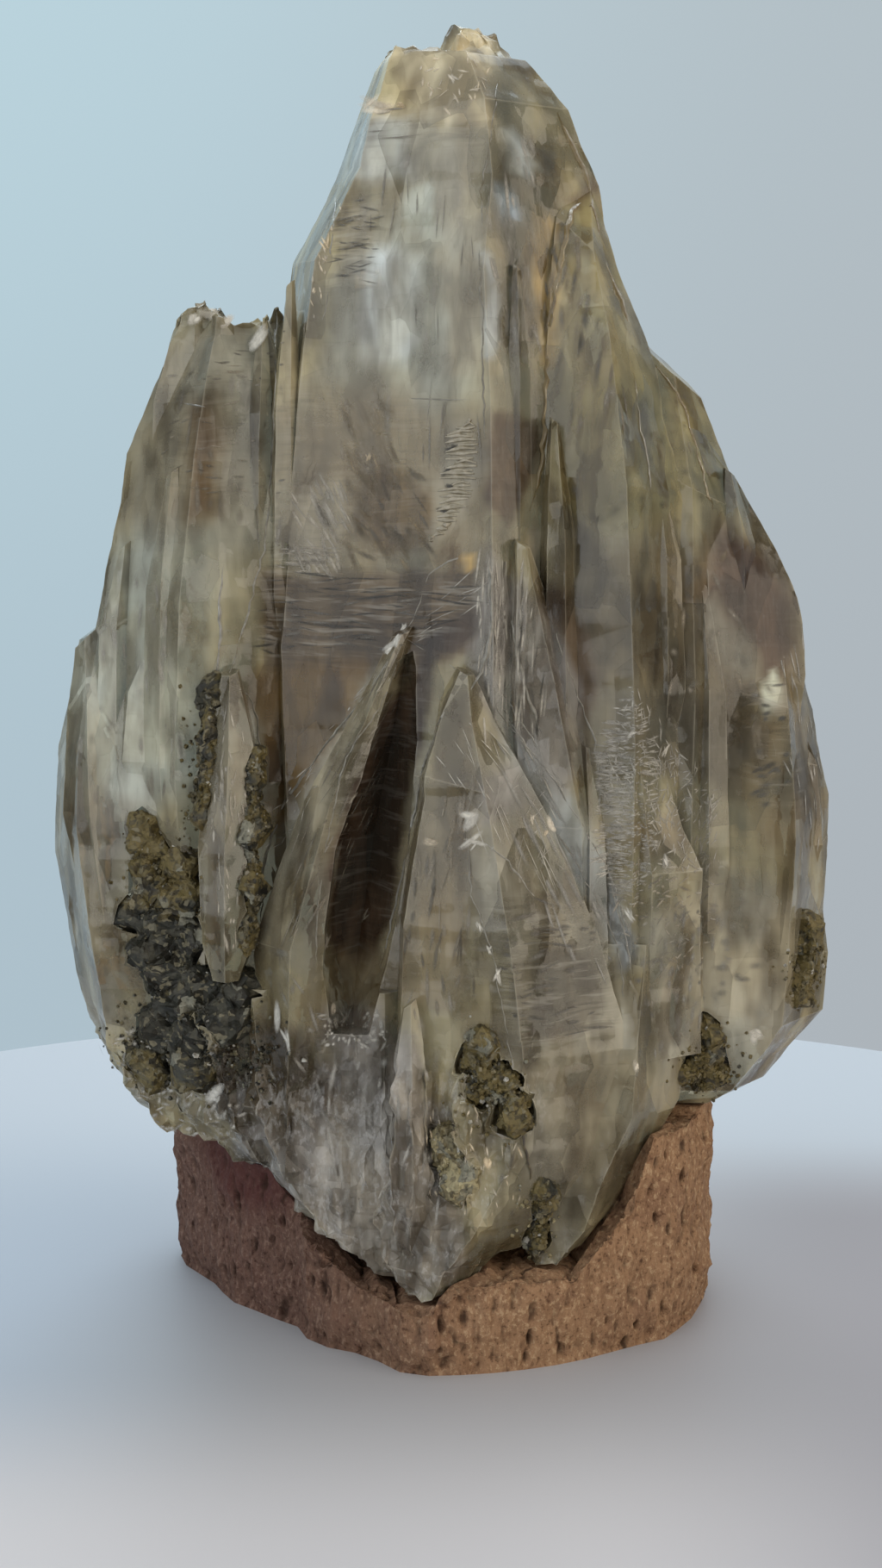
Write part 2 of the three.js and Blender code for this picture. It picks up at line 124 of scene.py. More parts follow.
# Zones of the quartz, later ones over earlier ones: name, tone and share of the haze, softness of the
# outline in mm, strength, and the corners of a convex outline, anticlockwise. The outlines below are
# given in the same way.
PANES = [
    ("outer bevel", "olive gold", 0.92, 0.9, 0.9, [
        (-17.6, 81.5), (-13, 77.2), (-9.4, 80), (-4.4, 104.9),
    ]),
    ("beige cap", "cream", 0.62, 0.8, 0.9, [
        (-6.4, 98.7), (2.9, 98), (4.2, 98.8), (4, 106), (-4.1, 104.4), (-5.8, 101.7),
    ]),
    ("golden corner", "olive gold", 0.85, 1.2, 0.75, [
        (-6.2, 99.6), (-2.8, 99.9), (-3.3, 103.5), (-5.4, 103.2),
    ]),
    ("lilac pane", "milk", 0.6, 0.7, 0.8, [
        (-7.6, 94.5), (-2.3, 94.5), (-2.3, 98.7), (-6.6, 98.8),
    ]),
    ("grey pane", "grey", 0.55, 0.8, 0.8, [
        (-2.3, 92.6), (1.9, 92.3), (2.9, 95.2), (3.2, 98.4), (-2.3, 98.7),
    ]),
    ("bright sheet", "silver", 0.5, 2.2, 0.75, [
        (-8.8, 86.4), (-8.6, 79.2), (-2.8, 75.2), (3, 78.5), (2.4, 91), (-5.5, 90.4),
    ]),
    ("left bevel", "grey", 0.78, 0.7, 0.75, [
        (-13, 71.2), (-10.8, 76.5), (-7.7, 95.6), (-12.8, 84.5),
    ]),
    ("olive rim", "olive gold", 0.62, 1, 0.75, [
        (8.7, 94.6), (12.1, 85.9), (14.1, 85.8), (12.7, 91.7), (10.9, 97.2), (7.9, 102.6), (6.2, 102.3),
    ]),
    ("dark facet", "brown smoke", 0.55, 1.4, 0.85, [
        (4, 83.2), (5.9, 80.5), (8.6, 84.5), (10, 91), (9.2, 95.6), (5.8, 98.8), (4, 94.9),
    ]),
    # window one and window two: painted views of the pale backdrop through clear spots in the quartz
    ("window one", "painted backdrop", 0.75, 0.35, 0.9, [
        (4.3, 94), (4.9, 90.9), (6.4, 91.2), (5.9, 93.6),
    ]),
    ("window two", "milk", 0.72, 0.35, 0.9, [
        (3.2, 84.5), (3.5, 80.2), (4.6, 83.7), (4.2, 86.4), (3.3, 89.1),
    ]),
    ("golden rim", "olive gold", 0.6, 0.9, 0.8, [
        (9.6, 91.7), (10.4, 89.1), (12.6, 86.4), (14.6, 85.8), (11.9, 94.5),
    ]),
    ("shoulder pane", "honey", 0.48, 1.2, 0.75, [
        (8.6, 81.8), (10, 78.5), (15.4, 79.2), (16.1, 81.8), (12.6, 87.1), (9.4, 88.4),
    ]),
    ("wing, upper", "olive gold", 0.5, 1.6, 0.85, [
        (8.7, 68.5), (16.9, 67.1), (21.6, 71.2), (19.4, 78.5), (15.4, 79.8), (9.3, 79.2),
    ]),
    ("golden wing edge", "olive gold", 0.58, 0.9, 0.75, [
        (16.1, 82.1), (17.4, 77.9), (19.5, 71.2), (22.2, 69.1), (21, 75.2), (18.7, 80.2),
    ]),
    ("wing, middle", "brown smoke", 0.62, 1.6, 0.85, [
        (12.1, 65.8), (12.2, 54.8), (24.6, 54.8), (23.8, 61.7), (18.2, 67.1),
    ]),
    ("wing, dark edge", "umber", 0.92, 1.6, 1.0, [
        (19.7, 61.7), (23.9, 54.8), (28, 54.8), (28.8, 61.7), (26.4, 65.8), (21.6, 68.5),
    ]),
    ("frosty wing", "brown smoke", 0.66, 1.6, 0.7, [
        (17.7, 54.8), (25.5, 43.7), (30.4, 43.7), (28.8, 51.4), (23.2, 58.9), (19, 60.3),
    ]),
    # painted light: the pale backdrop seen through a gap between the crystals
    ("backdrop light through the gap", "silver", 0.95, 0.3, 1.0, [
        (25.5, 52.9), (27.7, 52.9), (26.9, 56.6), (25.6, 54.8),
    ]),
    ("brown band", "umber", 0.8, 0.8, 0.9, [
        (7.4, 56.2), (12.3, 50.7), (12.9, 54.8), (12.2, 62.4), (7.5, 63.3),
    ]),
    ("brown band, right", "grey smoke", 0.74, 1.2, 0.85, [
        (12.9, 55.1), (13, 50.7), (18.5, 47.9), (24.9, 45.8), (23.9, 54.8),
    ]),
    ("feathered gold", "warm smoke", 0.46, 2.2, 0.9, [
        (-13, 65.1), (3.3, 65.1), (3.2, 75.2), (-4.9, 79.2), (-12.3, 76.5),
    ]),
    ("smoky band", "dark smoke", 0.84, 0.5, 0.95, [
        (-14.6, 56.2), (-2.9, 55.5), (3, 57.6), (3, 64.5), (-14.1, 64.1),
    ]),
    ("blue sheet", "dark smoke", 0.86, 0.8, 0.8, [
        (-7.9, 59.9), (-2.9, 58.9), (-0.8, 61.7), (-2.9, 62.4), (-7.7, 62.1),
    ]),
    ("smoky left", "burnt honey", 0.76, 0.8, 0.95, [
        (-18.2, 43.7), (-13.3, 42.3), (-7.7, 49.3), (-4.9, 57.6), (-15.2, 56.2),
    ]),
    ("blade", "grey", 0.46, 0.6, 0.95, [
        (-14.8, 33.1), (-10.4, 30.9), (-3, 58.3), (-4.9, 56.9), (-14.3, 40.9),
    ]),
    ("blade, pale rib", "beige", 0.6, 0.5, 0.8, [
        (-4.7, 57), (-7.7, 52.1), (-10.5, 46.5), (-11.5, 40.9), (-11.9, 34.5),
        (-10.2, 34.5), (-9.3, 40.9), (-7.6, 47.5), (-5, 52.7), (-2.7, 58.5),
    ]),
    # the dark of the hollow between the blade and the front crystal: painted shade
    ("shade of the hollow", "umber", 0.92, 0.5, 1, [
        (-4.5, 52.7), (-7.3, 47.5), (-8.7, 42.3), (-9.5, 37.3), (-8.7, 30.9),
        (-4.8, 31.6), (-3.1, 41.6), (-1.5, 48.6), (-0.8, 54.8), (-2.3, 56.9),
    ]),
    ("front crystal, left", "warm smoke", 0.48, 0.5, 0.9, [
        (-5, 30.2), (1.3, 28.1), (2.6, 36.6), (2.5, 54.4), (1, 54.4), (-0.3, 51.4), (-2.1, 44.4),
    ]),
    ("front crystal, right", "grey", 0.46, 0.6, 0.9, [
        (2.4, 42.3), (3.4, 33.8), (12.5, 29.5), (15.7, 32.4),
        (13.1, 40.2), (9.6, 45.1), (5.4, 50), (2.6, 49.3),
    ]),
    ("cool band", "cool grey", 0.52, 0.5, 0.85, [
        (3.4, 56.5), (5.4, 50.7), (14.8, 31.6), (16.1, 33.8), (13.1, 41.6), (5.8, 54.5),
    ]),
    ("neck", "violet grey", 0.48, 0.8, 0.9, [
        (2.5, 54.8), (9.6, 45.8), (12.3, 49.3), (10.7, 54.8), (8.8, 60.3), (3.7, 65.8), (2.7, 61.7),
    ]),
    ("left shoulder", "grey", 0.46, 1.4, 0.85, [
        (-25.3, 68.5), (-21.3, 64.4), (-13.2, 65.8), (-13, 83.2), (-18.3, 83.2), (-21.7, 80.5),
    ]),
    ("smoky streak", "dark smoke", 0.9, 1.2, 1.0, [
        (-20.4, 68.5), (-17.4, 68.5), (-17.5, 78.5), (-20.1, 77.2),
    ]),
    ("left wing", "silver", 0.46, 1.6, 0.85, [
        (-29.7, 47.9), (-25.8, 43.7), (-19.3, 47.9), (-18.2, 57.6),
        (-18.5, 67.1), (-25.6, 67.1), (-29, 58.9),
    ]),
    ("left wing, low", "grey", 0.46, 1.2, 0.85, [
        (-30.4, 47.9), (-30.1, 36.6), (-28.6, 28.1), (-26.8, 26.6), (-24.4, 45.8),
    ]),
    ("finger crystal", "grey", 0.46, 0.5, 0.9, [
        (-19.5, 37.3), (-17.5, 33.1), (-15.9, 33.8), (-14.9, 40.9),
        (-14.5, 52.1), (-16.8, 55.2), (-19.1, 47.9),
    ]),
    ("dark foot", "dark smoke", 0.56, 1, 0.9, [
        (-19.5, 20.1), (-11.5, 14.3), (-8.2, 22.3), (-11.4, 27.3), (-18, 28.1),
    ]),
    ("frosted foot", "violet grey", 0.64, 1, 0.85, [
        (-12.9, 13.5), (-8.7, 6.9), (-2.3, 3.7), (2.6, 6.1), (-0.1, 19.4), (-2.9, 26.9), (-7.7, 28.1),
    ]),
    ("smooth foot", "grey", 0.58, 0.7, 0.9, [
        (5, 29.5), (6.2, 20.8), (8, 10.6), (9.8, 7.6), (14.7, 14.3), (19.6, 23), (16.8, 30.9),
    ]),
    ("pale right foot", "beige", 0.5, 1.2, 0.85, [
        (16.6, 35.2), (18.2, 24.5), (23.8, 22.1), (30.3, 28.8), (30.5, 38), (22.1, 40.9),
    ]),
    ("right edge", "warm smoke", 0.5, 1, 0.8, [
        (24.7, 51.4), (25.5, 42.3), (30.9, 40.2), (31, 47.9), (28.7, 56.2),
    ]),
    ("window sheet", "silver", 0.62, 0.5, 0.85, [
        (-3.2, 92.3), (-2.3, 89.6), (-0.9, 89.1), (-0.4, 91.7), (-0.8, 94.1), (-2.8, 93.9),
    ]),
    ("pale sheet, low", "milk", 0.58, 0.6, 0.8, [
        (-6.3, 80.6), (-2.8, 80.2), (-1.5, 81.8), (-1.7, 88.4), (-4.8, 89.6), (-6.6, 88.4),
    ]),
    ("beige column", "beige", 0.55, 0.7, 0.7, [
        (-0.5, 88.4), (0.5, 79.8), (3.1, 79.8), (3.3, 88.4), (3.6, 98.1), (-0.5, 97.5),
    ]),
    ("dark fringe", "grey", 0.55, 0.6, 0.7, [
        (-8.3, 86.4), (-6.7, 86.4), (-5.1, 88.4), (-4.9, 92.6), (-8.4, 91.7),
    ]),
    ("bright sliver", "cool grey", 0.72, 0.3, 0.9, [
        (3.4, 80.6), (4.4, 80.6), (4.6, 85), (3.9, 88.9), (3.3, 89.1),
    ]),
    ("pale patch of the facet", "milk", 0.6, 0.5, 0.85, [
        (5.3, 95.4), (7.1, 94.4), (7.3, 95.2), (5.8, 97.6), (4.6, 98),
    ]),
    ("olive patch", "burnt honey", 0.6, 0.4, 0.85, [
        (10.4, 91.8), (12.4, 93.5), (12.3, 94.5), (9.7, 92.5),
    ]),
    ("golden band", "amber", 0.65, 0.6, 0.75, [
        (7.2, 86.4), (8, 79.8), (9.2, 79.8), (8.9, 90.9), (7.3, 92.3),
    ]),
    ("golden panel", "burnt honey", 0.72, 0.6, 0.8, [
        (-6, 68.5), (-4.9, 65.6), (-0.4, 65.6), (-0.7, 70.2), (-2.8, 72.4), (-5.6, 72.5),
    ]),
    ("frosty feathers", "beige", 0.58, 0.6, 0.8, [
        (-11.1, 64.1), (-8.3, 64.1), (-7.2, 68.5), (-8.1, 71.4), (-10.9, 70.2),
    ]),
    # a painted highlight: an orange glint
    ("painted orange glint", "amber", 0.8, 0.25, 0.95, [
        (1.8, 64.1), (2.8, 64.3), (2.8, 65.9), (1.7, 65.8),
    ]),
    ("brown stripe", "burnt honey", 0.6, 0.3, 0.85, [
        (0.4, 64.1), (1.6, 64.1), (1.6, 66.4), (0.3, 66.2),
    ]),
    # painted shadow beside the top of the hollow
    ("dark wedge", "painted shadow", 0.92, 0.5, 1.0, [
        (0.5, 57.4), (3.1, 58.9), (3, 61.3), (-0.8, 60), (-2.3, 57.8),
    ]),
    ("beige suture", "beige", 0.5, 0.5, 0.85, [
        (-0.1, 71.2), (-1, 66.8), (-0.8, 65.6), (1.2, 67.7), (2.8, 71.2), (2.6, 76.1), (0.6, 75.7),
    ]),
    ("frosty patch of the wing", "grey", 0.58, 0.8, 0.8, [
        (20.7, 58.7), (23.2, 55.9), (25.6, 55.1), (25.2, 57.6), (21.7, 62.2), (20.1, 61.4),
    ]),
    ("brown pocket", "umber", 0.88, 0.5, 0.9, [
        (3.4, 70.5), (5, 67.3), (7.5, 71.2), (7.8, 75.7), (5.9, 76.9), (3.6, 76.7),
    ]),
    ("brown pocket, low", "grey smoke", 0.75, 0.5, 0.85, [
        (9.4, 64.4), (12.2, 57.6), (15.3, 55.5), (15.6, 61.7), (12.8, 65.8), (8.7, 71.2),
    ]),
    ("pale pillar", "beige", 0.7, 0.3, 0.85, [
        (7.1, 65.8), (7.5, 63.2), (8.1, 63.9), (7.8, 68.1), (6.9, 67.8),
    ]),
    ("grey core of the front crystal", "violet grey", 0.6, 0.6, 0.8, [
        (2.8, 44), (4.7, 44.4), (7.8, 45.4), (6.1, 49.3), (3.3, 47.5),
    ]),
    ("smooth grey panel", "grey", 0.62, 0.5, 0.8, [
        (1.8, 39.5), (3.3, 36.6), (9.6, 35.2), (10.3, 37.3), (6.1, 41.9), (1.9, 41.9),
    ]),
    ("brown bricks", "grey smoke", 0.7, 0.4, 0.8, [
        (6.2, 26.6), (12.5, 26.6), (13.3, 29.1), (12.4, 33.4), (5.1, 32.7),
    ]),
    ("dark brow", "grey smoke", 0.7, 0.5, 0.8, [
        (4.7, 34.1), (8.9, 33.1), (13.3, 32.9), (13.1, 33.8), (8.9, 33.9), (4.4, 35.2),
    ]),
    ("violet corner", "warm smoke", 0.75, 0.5, 0.8, [
        (24.2, 49.3), (25.4, 46.8), (27.6, 48.6), (27, 53.1), (24.4, 52.4),
    ]),
    ("pale lower right", "beige", 0.62, 0.8, 0.8, [
        (20.2, 28.1), (25.8, 28.1), (27.4, 36.6), (25.6, 38), (20.1, 38), (16.9, 36.6),
    ]),
    ("greenish spots", "warm smoke", 0.7, 0.5, 0.75, [
        (15.3, 41.9), (17.2, 40.9), (20, 42.3), (19.3, 44.7), (15.5, 44.4),
    ]),
    ("smoky lilac foot", "violet grey", 0.65, 0.8, 0.8, [
        (-14.4, 11.3), (-11.5, 9.8), (-12.9, 15.7), (-15, 19.4), (-17.7, 16.8),
    ]),
    ("hollow, low end", "warm smoke", 0.8, 1.6, 0.9, [
        (-8.9, 25.5), (-4.8, 25.5), (-4, 33.4), (-8.9, 33.4),
    ]),
    # painted shadow on the hollow's right side
    ("hollow, right side", "painted shadow", 0.92, 0.35, 0.95, [
        (-2.1, 55.5), (-2.6, 50.7), (-2.9, 46.8), (-1.9, 49.6), (-0.6, 54.4), (-0.3, 57.2), (-1.4, 58.8),
    ]),
    ("hollow, foot", "violet grey", 0.62, 0.9, 0.85, [
        (-9.7, 28.9), (-9.8, 25.5), (-5.1, 25.5), (-4.8, 28.9),
    ]),
]

# Lines that run over the front of the quartz: name, half width in mm, finish, and points. The healed lines
# that follow crystal edges, ridges and fringes are painted highlights as well as healed quartz.
SEAMS = [
    ("golden_seam_shoulder", 0.34, "stain", [
        (11.9, 93.8), (10.2, 92), (9.4, 89.1), (8.8, 85.7),
        (8.3, 81.8), (8.2, 77.1), (7.9, 72.5), (6.9, 68.2),
    ]),
    ("golden_edge_top", 0.30, "stain", [
        (8.9, 99.4), (10.3, 96.7), (11.3, 94.5), (11.9, 91.7), (12.5, 89.2),
    ]),
    ("golden_edge_shoulder", 0.30, "stain", [(12.5, 89.2), (13.4, 86.4), (14.8, 83.4), (15.7, 81.4)]),
    ("golden_edge_wing", 0.22, "stain", [
        (16.8, 80.3), (17.8, 79.1), (19.2, 76.9), (20.1, 73.9), (20.9, 70.7), (21.8, 68.4),
    ]),
    ("wing_line", 0.13, "healed", [(15, 80.2), (15.7, 75.2), (16.6, 71.2), (16.3, 69.1)]),
    ("healed_ridge", 0.11, "healed", [(3, 88.4), (3.3, 83.2), (3.3, 78.5), (3.4, 73.9)]),
    ("healed_line_top", 0.09, "healed", [(-2.3, 77.7), (0.5, 77.6), (3, 77.6)]),
    ("healed_crack_middle", 0.14, "healed", [(3, 65.8), (0.6, 65), (-1, 63.9), (-2.2, 60.4), (-3.5, 58.9)]),
    ("needle_one", 0.06, "healed", [(-2.9, 58.9), (0, 59.7), (3.5, 61.4)]),
    ("needle_two", 0.06, "healed", [(-2.9, 58.9), (-0.1, 57.3), (2.5, 55.4)]),
    ("needle_three", 0.07, "healed", [(3.5, 56.9), (6, 52.7), (8.8, 48.6), (10.5, 45.8)]),
    ("needle_four", 0.11, "healed", [(3.7, 56.9), (4.6, 53), (8.8, 47.9), (13.1, 40.9), (16.1, 33)]),
    ("healed_streak_one", 0.20, "healed", [
        (3.7, 65.8), (4.1, 61.7), (3.7, 57.6), (2.5, 54.8), (0.7, 54.8),
    ]),
    ("healed_streak_two", 0.20, "healed", [(5.3, 62.4), (6, 57.6), (7.1, 54), (8.3, 50.6)]),
    ("front_crystal_edge", 0.15, "healed", [
        (0.7, 54.4), (-0.5, 51.3), (-1.5, 47.9), (-2.4, 43.7), (-3.5, 38.1), (-5, 31.7),
    ]),
    ("front_crystal_ridge", 0.06, "healed", [
        (2.5, 47.9), (2, 43.7), (2.5, 38.1), (4.1, 33.7), (5.4, 26.6), (6.5, 20.1),
    ]),
    ("blade_edge", 0.14, "healed", [
        (-3, 58.9), (-5.6, 54.8), (-9.1, 50.6), (-12.6, 45.8), (-14.3, 40.9), (-14.6, 35.2),
    ]),
    ("hollow_edge", 0.10, "healed", [
        (-3, 58.3), (-4.9, 53.4), (-7.7, 49.3), (-8.7, 45.1), (-9.8, 38.1), (-10.2, 31),
    ]),
    ("facet_edge", 0.10, "healed", [(8.8, 60.3), (10.5, 55.5), (12.3, 50.6), (12.8, 45.8), (13.1, 41.5)]),
    ("left_seam", 0.11, "healed", [
        (-12.8, 84.5), (-13.1, 78.5), (-13.4, 71.2), (-14, 65.8), (-15.9, 58.9), (-17.2, 54.8),
    ]),
    ("crack_foot", 0.16, "crack", [(6.5, 19.7), (7.1, 16.4), (7.6, 13.6)]),
    ("face_edge_upper", 0.08, "healed", [(4.4, 102), (3.9, 98.1), (3.6, 96.2), (3.1, 93.5), (3.3, 89.2)]),
    ("sheet_edge", 0.07, "healed", [(-7.8, 95.6), (-8.3, 91), (-8.8, 86.4), (-9.4, 81.8)]),
    ("front_fringe_one", 0.13, "healed", [(4.9, 53.3), (6.1, 51.4), (7.6, 48.7), (8.9, 46.1), (9.9, 44.4)]),
    ("front_fringe_two", 0.09, "healed", [
        (8.9, 44), (10.4, 41.6), (12.4, 38), (14, 34.8), (14.7, 31.6), (15, 28.1),
    ]),
    ("front_fringe_three", 0.1, "healed", [(13.1, 41.6), (14.1, 38), (15.1, 33.8), (15.6, 29.5)]),
    ("pale_arc", 0.09, "healed", [(3.3, 42.6), (5.4, 40.9), (7.5, 38), (8.9, 37.5)]),
    ("left_ridge", 0.15, "healed", [
        (-17.3, 64.7), (-17.6, 61.7), (-17.6, 57.6), (-18.3, 54.8), (-18.5, 51.4),
    ]),
    ("finger_edge", 0.16, "healed", [
        (-17.2, 55.4), (-15.4, 54.4), (-14.6, 52.4), (-14.4, 49.3), (-14.8, 45.8),
    ]),
    ("shoulder_line", 0.08, "healed", [(-21.3, 77.5), (-19.4, 77.2), (-16.9, 76.7)]),
]

# Fields where the skin is striated otherwise: name, upright and level strength, and corners.
GRAINS = [
    ("cap lines", 0.1, 0.45, [(-8.1, 96.9), (3.2, 96.9), (3.2, 98.8), (-7.4, 98.8)]),
    ("main face", 0.3, 0.05, [(-8.9, 79.2), (3.2, 79.2), (3.2, 95.6), (-7.8, 95.6)]),
    ("fringe", 0.2, 0.8, [(-8.6, 86.1), (-5.4, 86.1), (-4.5, 93.3), (-8.3, 93.3)]),
    ("facet, right", 0.5, 0.05, [(3.6, 79.8), (8.6, 79.8), (8.5, 93.9), (4.9, 93.9)]),
    ("left shoulder", 0.15, 0.25, [(-22.5, 70.5), (-14.1, 69.1), (-13.3, 81.8), (-21.7, 79.2)]),
    ("feathers", 0.2, 0.35, [(-13.6, 64.7), (-0.8, 64.7), (-0.8, 76.5), (-13.1, 79.2)]),
    ("ledge", 0.05, 0.9, [(-13.6, 64), (-8.3, 64), (-8.3, 66), (-13.6, 66.3)]),
    ("smoky band", 0, 0.8, [(-14.8, 57.2), (-2.9, 57.2), (3, 61.1), (3.3, 63.9), (-13.8, 63.9)]),
    ("pillars", 0.9, 0, [(2.8, 57.6), (8.8, 57.6), (8.7, 66.4), (2.8, 66.4)]),
    ("hollow", 0.1, 0.45, [(-9.9, 33.1), (-4.3, 33.1), (-0.8, 54.8), (-2.2, 57.6), (-8.8, 49.3)]),
    ("front crystal, low", 0.1, 0.8, [(4.8, 25.5), (14.1, 25.5), (13.1, 37.7), (4, 37.7)]),
    ("left wing", 0.2, 0.05, [(-29.8, 47.9), (-23.1, 40.9), (-21.6, 47.9), (-21.9, 65.8), (-28.8, 61.7)]),
    ("right edge", 0.1, 0.7, [(24.4, 49.3), (26.2, 44.7), (29.3, 45.8), (27, 55.5), (24.3, 55.5)]),
    ("foot, frosty", 0.3, 0.05, [
        (-12.2, 13.5), (-5.8, 6.1), (2, 9.1), (1.3, 19.4), (-3.6, 28.1), (-11.4, 25.2),
    ]),
    ("foot, smooth", 0.05, 0.05, [(7.7, 12), (12.7, 10.6), (17.5, 17.2), (18.1, 26.6), (9, 26.6)]),
]

